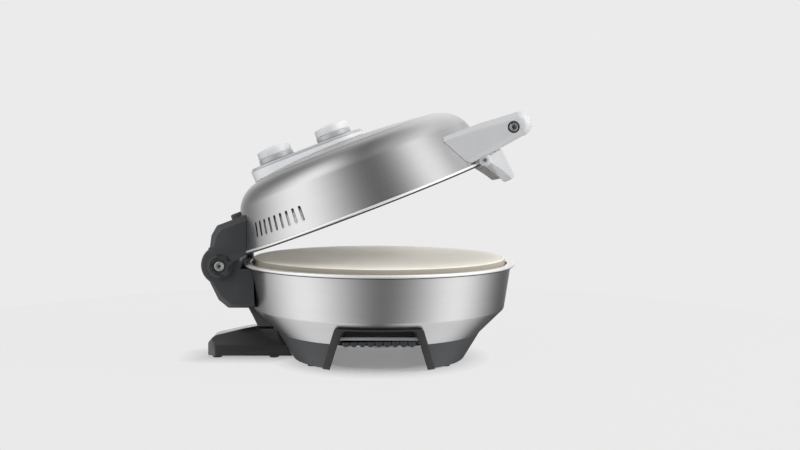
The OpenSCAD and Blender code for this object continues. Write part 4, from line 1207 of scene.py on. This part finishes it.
@dataclass
class Hinge(Assembly):
    """The bracket behind the base, the bracket behind the lid, and the caps of the shaft.

    Attributes:
        x: X of the shaft.
        z: Z of the shaft.
        knuckle_r: radius of the lower bracket's round ends.
        barrel_r: radius of the barrel between them.
        half_w: half the lower bracket's width.
        cheek: width of the upper bracket's cheeks.
        gap: clearance between the brackets.
        cap_r: radius of a cap.
        cap_t: how far a cap stands out.
        low_z: height of the lower side.
    """

    x: float = LID.axis_x
    z: float = LID.axis_z
    knuckle_r: float = 25.0
    barrel_r: float = 18.5
    half_w: float = 66.0
    cheek: float = 8.0
    gap: float = 0.4
    cap_r: float = 14.8
    cap_t: float = 4.0
    low_z: float = 72.0

    @property
    def face_y(self) -> float:
        """Y of the near cap's seat, just outside the near cheek."""
        return -(self.half_w + self.cheek + 2 * self.gap)

    def build(self) -> None:
        """Builds all pieces."""
        self.shop.mount(self.lower(), "base", "dark_plastic", "hinge_base", angle=36)
        self.shop.mount_closed(self.upper(), "lid", "dark_plastic", "hinge_lid", angle=36)
        for part, finish, node, angle in ((self.cap, "foot_gloss", "hinge_caps", 28),
                                          (self.screw, "screw_steel", "hinge_cap_screws", 28),
                                          # The drive hole's floor is black as painted shade.
                                          (self.socket, "seal_black", "hinge_cap_screws", SHARP)):
            for obj in Maker.both(part()):
                self.shop.mount(obj, "base", finish, node, angle=angle)

    def pin(self, name: str, profile: Sequence[Point], steps: int = 96) -> Piece:
        """A profile of radius and Y, turned about the shaft's axis."""
        return Maker.rod(name, (self.x, self.z), profile, steps)

    def lower_outline(self, g: float) -> Array:
        """Side of the lower bracket in X and Z, drawn in at the rear by g."""
        x, z, low, r = self.x, self.z, self.low_z, FORM.rim_r
        corners = [[x - self.knuckle_r + 4 + g, z - 9], [x - 14 + g, z - 24],
                   [x - 4 + g, low + 10 + g], [x + 8 + g, low + g], [8 - FORM.break_r, low + g],
                   [20 - r, z - 4.8], [1 - r, z - 4.8]]
        return fillet(corners, [2, 8, 6, 4, 0, 0, 0], 5)

    def upper_outline(self, g: float) -> Array:
        """Side of the upper bracket in X and Z, drawn in at the rear and the top by g."""
        x, z, low, front = self.x, self.z, FORM.lid_z + 0.4, 20 - FORM.crease_r
        corners = [[front, low], [x + 4 + g, low], [x - 6 + g, z + 23],
                   [x + 3 + g, z + 39 - g * 0.4], [x + 14 + g * 0.6, z + 48 - g], [front, z + 48 - g]]
        return fillet(corners, [0, 2, 7, 6, 5, 0], 5)

    @staticmethod
    def chamfered(name: str, outline: Callable[[float], Array], half: float, taper: float,
                  depth: float) -> Piece:
        """A block with chamfered ends.

        Args:
            name: name of the piece.
            outline: its side, as a function of how far it is drawn in.
            half: half its width.
            taper: width of each chamfer.
            depth: how far each end is drawn in.

        Returns:
            The block.
        """
        rows = ((-half, depth), (taper - half, 0.0), (half - taper, 0.0), (half, depth))
        return Maker.stacked(name, (Plane.XZ.put(outline(g), y) for y, g in rows))

    def lower(self) -> Piece:
        """A block with chamfered ends, a round knuckle at each end and a barrel between them."""
        w, r = self.half_w, self.knuckle_r
        block = self.chamfered("hinge_bracket_low", self.lower_outline, w, 7, 5.0)
        inner = math.sqrt(FORM.rim_r ** 2 - (-self.x - r - 2) ** 2) + 1
        knuckles = Maker.both(self.pin("knuckle_near", [[r - 1.5, -w], [r, -w + 1.5], [r, -inner]]))
        barrel = self.pin("barrel", [[self.barrel_r, 1 - w], [self.barrel_r, w - 1]])
        Maker.cut(block, *knuckles, barrel, operation="UNION")
        Maker.cut(block, FORM.base_envelope(FORM.seat))
        return Maker.bevelled(block, 1.1, 3, 36)

    def upper(self) -> Piece:
        """A hood with chamfered ends, a cheek round the shaft at each end, and a block on the lid."""
        f, x, z = FORM, self.x, self.z
        inner, outer = self.half_w + self.gap, self.half_w + self.gap + self.cheek
        hood = self.chamfered("hinge_bracket_high", self.upper_outline, outer, 8, 7.0)
        flange = Maker.block("flange", [x + 27, -24, f.lid_z + 10], [x + 71, 24, f.lid_z + 53])
        Maker.bevelled(flange, 2.5, 3, 40)
        eyes = Maker.both(self.pin("eye_near", [[self.cap_r + 1, -outer], [self.cap_r + 1, -inner]]))
        web = [[x - 8, z + 13], [x - 5, z + 26], [x + 40, z + 10], [x + 40, z + 1.6], [x + 10, z - 2]]
        webs = Maker.both(Maker.prism("web_near", web, Plane.XZ, -outer, -inner))
        Maker.cut(hood, flange, *eyes, *webs, operation="UNION")
        room_w, front, low = self.half_w - self.cheek, 30 - f.crease_r, f.lid_z - 5
        room = [[front, low], [x + 8, low], [x, z + 23], [x + 8, z + 37], [x + 16, z + 43],
                [front, z + 43]]
        turn_r, rim_r = self.knuckle_r + 0.6, f.rim_r + 0.6
        Maker.cut(hood, Maker.prism("cut_room", room, Plane.XZ, -room_w, room_w),
                  self.pin("cut_turn", [[turn_r, -inner], [turn_r, inner]]),
                  Maker.turned("cut_rim", [[0, 0], [rim_r, 0], [rim_r, f.lid_z], [0, f.lid_z]]),
                  f.lid_envelope(f.seat))
        return Maker.bevelled(hood, 1.1, 3, 36)

    def cap(self) -> Piece:
        """A round cap: a seat for its screw, a deep groove, a flat ring and a low outer step."""
        out, r = self.face_y - self.cap_t, self.cap_r
        return self.pin("hinge_cap_near", [
            [0.01, out + 1.2], [6.1, out + 1.2], [6.3, out + 2.8], [9.0, out + 2.8], [9.6, out + 0.4],
            [10.1, out], [12.7, out], [13.3, out + 0.5], [13.5, out + 2.6], [r - 0.3, out + 2.6],
            [r, out + 2.9], [r, self.face_y]])

    def screw(self) -> Piece:
        """A screw's head with a rounded edge and a round drive hole."""
        y = self.face_y - self.cap_t + 1
        return self.pin("hinge_cap_screw_near", [
            [0.01, y - 0.1], [2.3, y - 0.1], [2.5, y - 1.0], [2.9, y - 1.2], [5.1, y - 1.2],
            [5.8, y - 0.8], [6.0, y - 0.1], [6.0, y]], 64)

    def socket(self) -> Piece:
        """Painted shade: a black six-sided disc at the floor of the screw's drive hole."""
        y = self.face_y - self.cap_t + 1
        return self.pin("hinge_cap_socket_near", [[2.25, y - 0.35], [2.25, y + 0.1]], 6)


# ---------------------------------------------------------------- lid


@dataclass
class Lid(Assembly):
    """The domed steel lid with its bead, seal and bright liner.

    Attributes:
        vents: number of vent slots on each side.
        vent_w: width of a slot.
        vent_h: height of a slot.
        vent_low: height of the slots above the lid's edge.
        vent_first: azimuth of the first slot, in degrees from the handle.
        vent_tilt: tilt of the slots in the wall, in degrees.
        vent_pitch: azimuth from slot to slot, in degrees.
        rim_w: width of bead and seal.
        seal_h: height of the seal.
    """

    vents: int = 9
    vent_w: float = 3.8
    vent_h: float = 20.0
    vent_low: float = 15.0
    vent_first: float = 115.4
    vent_tilt: float = 10.0
    vent_pitch: float = 3.45
    rim_w: float = 7.0
    seal_h: float = 1.4

    def build(self) -> None:
        """Builds all pieces."""
        for obj, finish, node, angle in ((self.shell(), "brushed_steel", "lid_shell", 40),
                                         (self.bead(), "polished_steel", "lid_rim", SHARP),
                                         (self.seal(), "seal_black", "lid_seal", SHARP),
                                         (self.liner(), "pan_steel", "lid_liner", SHARP),
                                         # A black skin under the liner's roof stands in for the shade seen through
                                         # the vents: painted shade.
                                         (self.liner_back(), "seal_black", "lid_liner", SHARP)):
            self.shop.mount_closed(obj, "lid", finish, node, angle=angle)

    def shell(self) -> Piece:
        """The sheet: wall, soft crease, rounded shoulder and domed top, with the vents cut out."""
        pole = [[0.0, FORM.top_z], [0.0, FORM.top_z - FORM.sheet]]
        profile = np.concatenate([FORM.lid_side(), pole, FORM.lid_side(-FORM.sheet)[::-1]])
        return Maker.cut(Maker.turned("lid_dome", profile, 256), self.slots())

    def slots(self) -> Piece:
        """All vent slots as one solid: slots with round ends that stand across the leaning wall."""
        f = FORM
        z = f.lid_z + self.vent_low + self.vent_h / 2
        lean = math.atan2(f.lid_wall_r - f.crease_r, f.crease_z - f.lid_wall_z)
        middle = np.array([f.lid_wall_r - (z - f.lid_wall_z) * math.tan(lean), 0.0, z])
        half, r = (self.vent_h - self.vent_w) / 2, self.vent_w / 2
        slot = np.concatenate([arc((0, half), r, 0, 180, 8), arc((0, -half), r, 180, 360, 8)])
        across = np.array([0.0, 1.0, 0.0])
        out = np.array([math.cos(lean), 0.0, math.sin(lean)])
        up = np.array([-math.sin(lean), 0.0, math.cos(lean)])
        parts = []
        for side in (-1, 1):
            tilt = math.radians(side * self.vent_tilt)
            leaning = up * math.cos(tilt) + across * math.sin(tilt)
            face = slot[:, :1] * across + slot[:, 1:] * leaning
            for i in range(self.vents):
                turn = math.radians(side * (self.vent_first + self.vent_pitch * i))
                cos, sin = math.cos(turn), math.sin(turn)
                flat = np.array([[cos, sin, 0], [-sin, cos, 0], [0, 0, 1]])
                rings = ((middle + face + out * depth) @ flat for depth in (-4.0, 4.0))
                parts.append(Maker.stacked(f"cut_slot_{side}_{i}", rings))
        return Maker.joined("cut_slots", parts)

    def bead(self) -> Piece:
        """The rolled bead round the lid's edge."""
        f = FORM
        low, high, inner = f.lid_z + self.seal_h, f.lid_wall_z, f.rim_r - self.rim_w
        mid, r = (low + high) / 2, (high - low) / 2
        edge = arc((f.rim_r - r, mid), r, -90, 90, 12)
        return Maker.turned("lid_bead", np.concatenate([[[inner, low]], edge, [[inner, high]]]), 256)

    def seal(self) -> Piece:
        """The black seal below the bead."""
        low, high = FORM.lid_z, FORM.lid_z + self.seal_h
        inner, outer = FORM.rim_r - self.rim_w, FORM.rim_r - 0.6
        profile = fillet([[inner, low], [outer, low], [outer, high], [inner, high]], 0.35, 3)
        return Maker.turned("lid_gasket", profile, 256)

    def liner_top(self) -> Array:
        """Upper side of the inner sheet as radius and height: flange, wall, knee and shallow roof."""
        f, low = FORM, FORM.lid_wall_z + 0.02
        flange, wall = f.rim_r - 4.5, f.rim_r - 9.5
        knee, roof = [f.crease_r - 4, f.crease_z - 9], [f.dome_r + 3, f.top_z - 20]
        return fillet([[flange, low], [flange, low + f.sheet], [wall, low + f.sheet], knee, roof,
                       [0, f.top_z - 18]], [0, 0, 1.5, 9, 9, 0], 7, closed=False)

    def liner(self) -> Piece:
        """The bright inner sheet that hangs below the shell."""
        f = FORM
        lower = fillet([[0, f.top_z - 18 - f.sheet], [f.dome_r + 2.5, f.top_z - 20 - f.sheet],
                        [f.crease_r - 5, f.crease_z - 9.4], [f.rim_r - 10.5, f.lid_wall_z + 0.02]],
                       [0, 8, 8, 0], 7, closed=False)
        return Maker.turned("lid_lining", subdivided(np.concatenate([self.liner_top(), lower]), 14), 224)

    def liner_back(self) -> Piece:
        """Painted shade: a black skin on the hidden side of the inner sheet's roof, which shows through the vents.
        """
        before_roof, gap, thick = 16, 0.12, 0.2
        line = subdivided(self.liner_top()[before_roof:] + [gap, gap], 14, closed=False)
        return Maker.turned("lid_lining_back", np.concatenate([line, (line + [thick, thick])[::-1]]))


@dataclass
class Console(Assembly):
    """The long raised console on the lid's top, with its lamps and both knobs.

    Attributes:
        r: radius of its round ends.
        rear_x: X of the rear knob.
        pitch: distance from knob to knob.
        top_z: height of its top plate.
        fascia: thickness of the plate.
        knob_r: radius of a knob.
        knob_h: height of a knob with its skirt.
        skirt_h: height of the skirt.
        crown_h: rise of the cap's crown.
        knob_gap: gap below a knob.
        foot_gap: gap between the body's foot and the dome.
        hole_r: radius of a skirt's hole.
        lamp_r: radius of a lamp.
        lamp_y: Y of the lamps.
    """

    r: float = 38.0
    rear_x: float = -90.0
    pitch: float = 80.0
    top_z: float = 226.0
    fascia: float = 3.0
    knob_r: float = 23.5
    knob_h: float = 19.0
    skirt_h: float = 6.2
    crown_h: float = 3.4
    knob_gap: float = 0.7
    foot_gap: float = 0.35
    hole_r: float = 5.1
    lamp_r: float = 3.0
    lamp_y: float = 9.0

    def build(self) -> None:
        """Builds all pieces."""
        for obj, finish, node in ((self.pod(), "pale_plastic", "console_base"),
                                  (self.plate(), "fascia_plastic", "console_fascia"),
                                  (self.lamps(), "lamp_lens", "indicator_lamps")):
            self.shop.mount_closed(obj, "lid", finish, node, angle=30)
        for x, knob in ((self.rear_x, "temperature"), (self.rear_x + self.pitch, "timer")):
            for obj, finish, part in ((self.cap(x, knob), "knob_plastic", "knob"),
                                      (self.skirt(x, knob), "skirt_plastic", "skirt")):
                self.shop.mount_closed(obj, f"{knob}_dial", finish, f"{knob}_{part}", angle=30)

    def pill(self, inset: float) -> Array:
        """A long outline with round ends about both knobs, drawn in by an inset."""
        r, front_x = self.r - inset, self.rear_x + self.pitch
        ends = [arc((self.rear_x, 0), r, 90, 270, 40), arc((front_x, 0), r, -90, 90, 40)]
        return subdivided(np.concatenate(ends), 6)

    def rows(self, name: str, rows: Sequence[tuple[float, float | None]]) -> Piece:
        """Stacks pill outlines; a height of None follows the lid's surface, just above it."""
        rings = []
        for inset, height in rows:
            line = self.pill(inset)
            if height is None:
                height = FORM.lid_height(np.hypot(line[:, 0], line[:, 1])) + self.foot_gap
            rings.append(Plane.XY.put(line, height))
        size = min(map(len, rings))
        return Maker.stacked(name, (ring[:size] for ring in rings))

    def pod(self) -> Piece:
        """The pale body, whose foot follows the dome."""
        top = self.top_z - self.fascia - 1
        return self.rows("console_body", [(0.35, None), (0.0, top - 0.6), (0.35, top)])

    def plate(self) -> Piece:
        """The silver top plate: a thin step below, and a bevelled upper edge."""
        z, low = self.top_z, self.top_z - self.fascia - 1
        step = [(0.3, low), (0.0, low + 0.25), (0.0, low + 0.7), (0.4, low + 1.0)]
        edge = [(2.0, low + 1.0), (2.0, z - 1.3), (2.35, z - 0.5), (3.1, z - 0.08), (3.6, z)]
        return self.rows("console_plate", step + edge)

    def lamps(self) -> Piece:
        """Two small domed lamps between the knobs."""
        x, r, low = self.rear_x + self.pitch / 2, self.lamp_r, self.top_z - 0.1
        dome = arc((0, 0), 1, 90, 0, 6) * [r, 0.5] + [0, low]
        profile = np.concatenate([dome, [[r, self.top_z - 3.0], [0, self.top_z - 3.0]]])
        parts = [Maker.turned(f"lamp_{side}", profile, 40, centre=(x, side * self.lamp_y))
                 for side in (-1, 1)]
        return Maker.joined("lamps", parts)

    def skirt(self, x: float, knob: str) -> Piece:
        """The ring below a knob's cap, a little conical and open in the middle."""
        z, r, hole = self.top_z + self.knob_gap, self.knob_r, self.hole_r
        top = z + self.skirt_h - 0.05
        profile = fillet([[hole, z], [r, z], [r - 0.35, top], [hole, top]], [0, 0.9, 0.5, 0], 4)
        return Maker.turned(f"{knob}_ring", profile, 128, centre=(x, 0))

    def cap(self, x: float, knob: str) -> Piece:
        """A knob's cap: a groove at its foot, and a crown at z = top - crown (r / rim)^2."""
        z, r, hub = self.top_z + self.knob_gap, self.knob_r, self.hole_r - 0.2
        foot, top, rim = z + self.skirt_h, z + self.knob_h, r - 1.3
        across = np.linspace(rim - 1.5, 0, 14)
        crown = np.stack([across, top - self.crown_h * (across / rim) ** 2], 1)
        side = fillet([[r - 1.6, foot + 0.9], [r - 0.7, foot + 1.0], [rim, top - self.crown_h],
                       crown[0]], [0, 0.3, 1.1, 0], 4, closed=False)
        under = [[0.0, foot - 1.0], [hub, foot - 1.0], [hub, foot + 0.02], [r - 1.6, foot + 0.02]]
        return Maker.turned(f"{knob}_cap", np.concatenate([under, side, crown[1:]]), 160, centre=(x, 0))


# ---------------------------------------------------------------- handle and latch


@dataclass
class Handle(Assembly):
    """Both arms on the lid's wall, the round grip between them, and its screws.

    Attributes:
        width: distance between the arms' outer faces.
        arm: width of an arm.
        grip_x: X of the grip's axis.
        grip_z: Z of the grip's axis.
        grip_r: radius of the grip.
        bore_r: radius of the grip's bore.
        rise: height of an arm above the grip's axis.
        pin: X and Z of the latch's pin.
        ear_r: radius of the ear round the pin.
    """

    width: float = 232.0
    arm: float = 14.0
    grip_x: float = 198.5
    grip_z: float = 157.0
    grip_r: float = 11.0
    bore_r: float = 5.05
    rise: float = 19.0
    pin: tuple[float, float] = (153.0, 132.3)
    ear_r: float = 7.5

    def build(self) -> None:
        """Builds all pieces."""
        parts = [(self.arm_piece(), "silver_plastic", "handle_arm_{}", 34)]
        parts += [(part, finish, "grip_screws", 28) for part, finish in self.screw()]
        for part, finish, node, angle in parts:
            for obj, side in zip(Maker.both(part), ("near", "far")):
                self.shop.mount_closed(obj, "lid", finish, node.format(side), angle=angle)
        self.shop.mount_closed(self.grip(), "lid", "grip_metal", "handle_grip")

    def outline(self) -> Array:
        """Side of an arm in X and Z: a bar that narrows a little and ends round the grip."""
        x, z, r, top = self.grip_x, self.grip_z, FORM.rim_r, self.grip_z + self.rise
        return np.concatenate([
            [[r - 78, top], [r - 50, top], [r - 18, top]], arc((x + 8.5, z + 1), 15, 98, -98, 24),
            [[x - 30, z - 18.9], [x - 66, z - 22.4], [r - 78, z - 25]]])

    def arm_piece(self) -> Piece:
        """An arm: its outline carried across its width, with a broad outer bevel and an ear for the pin.

        The bevel's depth grows along X from 0.85 to 1.3 times its value over 70 mm.
        """
        near, line, r = -self.width / 2, self.outline(), self.ear_r
        far = near + self.arm
        grow = 0.85 + 0.45 * np.clip((line[:, 0] - 130) / 70, 0, 1)
        rows = ((near, 6.2), (near + 0.4, 5.6), (near + 4.0, 0.3), (near + 4.6, 0.0),
                (far - 1.4, 0.0), (far - 0.4, 0.45), (far, 1.3))
        rings = (Plane.XZ.put(drawn_in(line, depth * grow), y) for y, depth in rows)
        arm = Maker.stacked("handle_arm_left", rings)
        ear = Maker.rod("ear", self.pin, [[r - 2.0, near + 5.0], [r - 1.0, near + 5.4], [r, near + 6.6],
                                          [r, far - 0.8], [r - 0.8, far]], 48)
        Maker.cut(arm, ear, operation="UNION")
        sink = Maker.rod("cut_sink", (self.grip_x, self.grip_z),
                         [[7.7, near - 1], [7.7, near], [7.2, near + 0.5], [7.2, near + 2]])
        dimple = Maker.rod("cut_dimple", self.pin, [[2.2, near - 1], [2.2, near + 7.5]], 32)
        return Maker.cut(arm, sink, dimple, FORM.lid_envelope(0.3))

    def screw(self) -> list[tuple[Piece, str]]:
        """The screw at an arm's end: a head, a black collar round it, and a black six-sided disc in its drive hole
        as painted shade.
        """
        y = -self.width / 2
        head = [[0.01, y + 0.6], [2.3, y + 0.6], [2.6, y - 0.2], [3.2, y - 0.45], [4.3, y - 0.4],
                [4.9, y + 0.1], [4.9, y + 1.9]]
        collar = [[4.9, y + 1.8], [4.95, y + 0.35], [6.6, y + 0.35], [6.9, y + 0.7], [6.9, y + 1.9]]
        # Painted shade: a black six-sided disc at the floor of the drive hole.
        socket = [[2.25, y + 0.4], [2.25, y + 0.7]]
        parts = (("screw", head, 64, "screw_steel"), ("collar", collar, 64, "seal_black"),
                 ("socket", socket, 6, "seal_black"))
        return [(Maker.rod(f"handle_{name}_left", (self.grip_x, self.grip_z), profile, steps), finish)
                for name, profile, steps, finish in parts]

    def grip(self) -> Piece:
        """The grip tube between the arms, with rounded ends."""
        half, r, b = self.width / 2 - self.arm, self.grip_r, self.bore_r
        profile = [[b, -half], [r - 0.6, -half], [r, -half + 0.6], [r, 0], [r, half - 0.6],
                   [r - 0.6, half], [b, half]]
        centre = np.array([self.grip_x, self.grip_z])
        rings = np.stack([Plane.XZ.put(centre + radius * circle(72), y) for radius, y in profile])
        return Maker.outward(Maker.grid("grip_tube", rings, True))


@dataclass
class Latch(Assembly):
    """The curved flap that hangs on two pins below the handle and drops over the base's rim.

    Attributes:
        inner_r: radius of its inner face.
        depth: thickness at its foot.
        low_z: height of its foot.
        top_z: height of its top.
        pin: X and Z of its pins.
        half_w: half its width at the pins.
        pin_hole: radius of the pins' holes.
        hole_depth: depth of the holes.
    """

    inner_r: float = 181.0
    depth: float = 11.5
    low_z: float = 96.0
    top_z: float = 135.5
    pin: tuple[float, float] = Handle.pin
    half_w: float = 101.6
    pin_hole: float = 2.1
    hole_depth: float = 9.6

    def build(self) -> None:
        """Builds the flap."""
        self.shop.mount_closed(self.flap(), "latch_flap", "silver_plastic", "latch", angle=30)

    def section(self) -> Array:
        """The flap's section as radius and height: thick and rounded at its foot, thinner at the top."""
        r, low, top = self.inner_r, self.low_z, self.top_z
        corners = [[r, low], [r + self.depth, low], [r + self.depth * 0.6, top], [r, top]]
        return subdivided(fillet(corners, [2.2, 3.0, 1.6, 1.0], 5), 3.0)

    def flap(self) -> Piece:
        """Carries the section across the flap.

        At the share t of the half width, a point (r, z) lies at y = t w(z) and x = sqrt(r^2 - y^2).
        Here w grows from 0.6 of the half width at the foot to the whole of it at the pins.
        """
        r, z = self.section().T
        low = self.low_z - 1
        grow = np.clip((z - low) / (self.pin[1] - 6 - low), 0, 1)
        y = np.linspace(-1, 1, 65)[:, None] * (self.half_w * (0.6 + 0.4 * grow))[None]
        x = np.sqrt(r[None] ** 2 - y ** 2)
        flap = Maker.stacked("latch_flap_plate", np.stack([x, y, np.broadcast_to(z, x.shape)], -1))
        hole, ends = self.pin_hole, (-1 - self.half_w, self.hole_depth - self.half_w)
        bore = Maker.rod("cut_bore_near", self.pin, [[hole, end] for end in ends], 32)
        Maker.cut(flap, *Maker.both(bore))
        return Maker.bevelled(flap, 0.8, 3, 45)


# ---------------------------------------------------------------- studio


@dataclass
class Studio:
    """The pale floor, the soft lights, the tent that the metal mirrors, and the camera.

    Attributes:
        backdrop: value of the world where it is seen or mirrored.
        ambient: value of the world as light.
        floor_r: radius of the floor in metres.
        lens_px: focal length in pixels of an image of image_w pixels.
        image_w: width of that image.
        sensor: width of the sensor in millimetres.
        eye: place of the camera in metres.
        aim: turn of the camera about X, Y and Z in degrees.
        target_z: height at which the lamps are aimed, in metres.
        tent_r: radius of the tent in metres.
    """

    backdrop: float = 0.83
    ambient: float = 0.5
    floor_r: float = 1.3
    lens_px: float = 987.8
    image_w: float = 800.0
    sensor: float = 36.0
    eye: tuple[float, float, float] = (0.0, -1.3, 0.25487)
    aim: tuple[float, float, float] = (90 - 3.57, -0.3, -1.18)
    target_z: float = 0.15
    tent_r: float = 2.6

    def build(self) -> None:
        """Builds the studio."""
        self.camera()
        self.world()
        self.floor()
        self.tent()
        self.lamp("key", (-1.6, -1.5, 1.3), (1.6, 1.6), 26.0)
        self.lamp("fill", (2.1, -0.6, 1.05), (1.6, 1.4), 57.0)
        self.lamp("top", (0.1, -0.3, 2.3), (2.0, 2.0), 12.0)
        bpy.context.scene.view_settings.view_transform = "Standard"

    def camera(self) -> None:
        """A camera level with the open lid, looking down a little on the stone."""
        data = bpy.data.cameras.new("camera")
        data.sensor_width = self.sensor
        data.lens = self.lens_px / self.image_w * self.sensor
        data.clip_start, data.clip_end = 0.05, 30
        obj = placed("camera", data)
        obj.location = self.eye
        obj.rotation_euler = tuple(map(math.radians, self.aim))
        bpy.context.scene.camera = obj

    def lamp(self, name: str, place: Point, size: tuple[float, float], watts: float) -> None:
        """A soft lamp that faces the object and isn't mirrored in it."""
        data = bpy.data.lights.new(name, "AREA")
        data.shape, data.size, data.size_y, data.energy = "RECTANGLE", *size, watts
        obj = placed(name, data)
        obj.location = place
        x, y, z = place
        obj.rotation_euler = (math.atan2(math.hypot(x, y), z - self.target_z), 0.0, math.atan2(x, -y))
        obj.visible_glossy = False

    def world(self) -> None:
        """A pale world: the backdrop's value where it is seen or mirrored, and a softer one as light."""
        world = bpy.data.worlds.new("studio")
        bpy.context.scene.world = world
        world.use_nodes = True
        g = Graph.of_world(world)
        rays = g.node("LightPath")
        camera, glossy, through = (
            Socket(g, rays.outputs[f"Is {kind} Ray"]) for kind in ("Camera", "Glossy", "Transmission"))
        light = camera.most(glossy).most(through) * (self.backdrop - self.ambient) + self.ambient
        g.show(g.node("Background", inputs={"Color": g.grey(light)}))

    def floor(self) -> None:
        """A pale disc under the object, which fades into the backdrop and isn't mirrored in the metal.

        The backdrop's share grows with the distance d outwards from the edge of the base's foot and from
        the rear foot, so that the shadow is soft and close: it is 0.2 up to d = -30 mm and 0.96 from
        d = 40 mm on, and goes on to 1 with the distance from the middle.
        """
        rows = np.concatenate([[0.0], np.geomspace(20, self.floor_r / MM, 40)])
        obj = Maker.turned("floor", np.stack([rows, np.zeros_like(rows)], 1), 96, closed=False)
        g = Graph("floor_paint")
        x, y, _ = g.axes(g.place())
        base_r, half_reach, half_w = 0.108, 0.112, 0.018
        reach = Socket.length(x, y)
        past_x, past_y = abs(x + half_reach) - half_reach, abs(y) - half_w
        from_foot = Socket.length(past_x.most(0.0), past_y.most(0.0))
        close = g.ramp((reach - base_r).function("MINIMUM", from_foot), -0.03, 0.04) * 0.76 + 0.2
        far = g.ramp(reach, 0.17, self.floor_r * 0.6)
        clear = close.most(far).most(g.get("LightPath", out="Is Glossy Ray"))
        backdrop = g.node("BsdfTransparent").outputs[0]
        g.show(g.node("MixShader", inputs={0: clear, 1: g.shader.outputs[0], 2: backdrop}))
        obj.data.materials.append(g.finish(Base_Color=(0.5, 0.5, 0.5), Roughness=0.95))

    def tent(self) -> None:
        """A round tent about the set, which only mirrors see: bright to both sides, dark in front.

        The azimuth a runs in degrees from the camera's side, to the right, and (x, y, z) is the
        direction from the middle. Between the poles the light is 0.07 plus bells exp(-((a - m) / s)^2):
        one to the left and one to the right, whose m and s move with the height, one towards the
        backdrop at |a| = 180, and one high at the right at a = 128. Near a pole it is a valley in x
        instead, with its floor at x = 0 below and at x = -0.25 above.
        """
        rows, cols = 49, 96
        high = math.pi * (np.arange(rows) / (rows - 1) - 0.5)[:, None]
        around = np.cos(high)[..., None] * circle(cols)
        points = np.concatenate([around, np.broadcast_to(np.sin(high)[..., None], (rows, cols, 1))], -1)
        obj = Maker.outward(Maker.grid("tent", points * self.tent_r / MM))
        g = Graph("tent_light")
        x, y, z = g.axes(g.place([1 / self.tent_r] * 3))
        azimuth = x.function("ARCTAN2", y * -1.0) * (180 / math.pi)
        lift = g.ramp(z, -0.1, 0.55)
        left = ((azimuth + 68 - lift * 2) / (44 - lift * 9)).lobe()
        right = ((azimuth - 70 + lift * 13) / (37 - lift * 8)).lobe()
        back = ((180 - abs(azimuth)) * (1 / 32)).lobe() * g.ramp(z, -0.2, 0.05)
        high_right = ((azimuth - 128) * (1 / 34)).lobe() * g.ramp(z, 0.3, 0.55)
        between = (left + right) * (lift * 0.14 + 1.24) + back * 0.9 + 0.07 + high_right * 0.7
        below = g.ramp(abs(x), 0.03, 0.36) * 0.85 + 0.12
        above = g.ramp(abs(x + 0.25), 0.06, 0.64) * 0.85 + 0.16
        low, up = g.ramp(z * -1.0, 0.50, 0.75), g.ramp(z, 0.78, 0.92)
        light = between * (1 - low) * (1 - up) + below * low + above * up
        g.show(g.node("Emission", inputs={"Color": g.grey(light)}))
        obj.data.materials.append(g.material)
        obj.visible_camera = obj.visible_diffuse = obj.visible_shadow = obj.visible_transmission = False


def main() -> None:
    """Builds the studio and every sub-assembly, and dresses the CAD nodes that still show."""
    logging.basicConfig(level=logging.INFO, format="%(name)s %(message)s")
    shop = Shop()
    Studio().build()
    for assembly in (BaseBody, Plinth, RearStand, Hinge, Lid, Console, Handle, Latch):
        LOG.info("building %s", assembly.__name__)
        assembly(shop).build()
    shop.dress_kept_nodes()


if __name__ == "__main__":
    main()
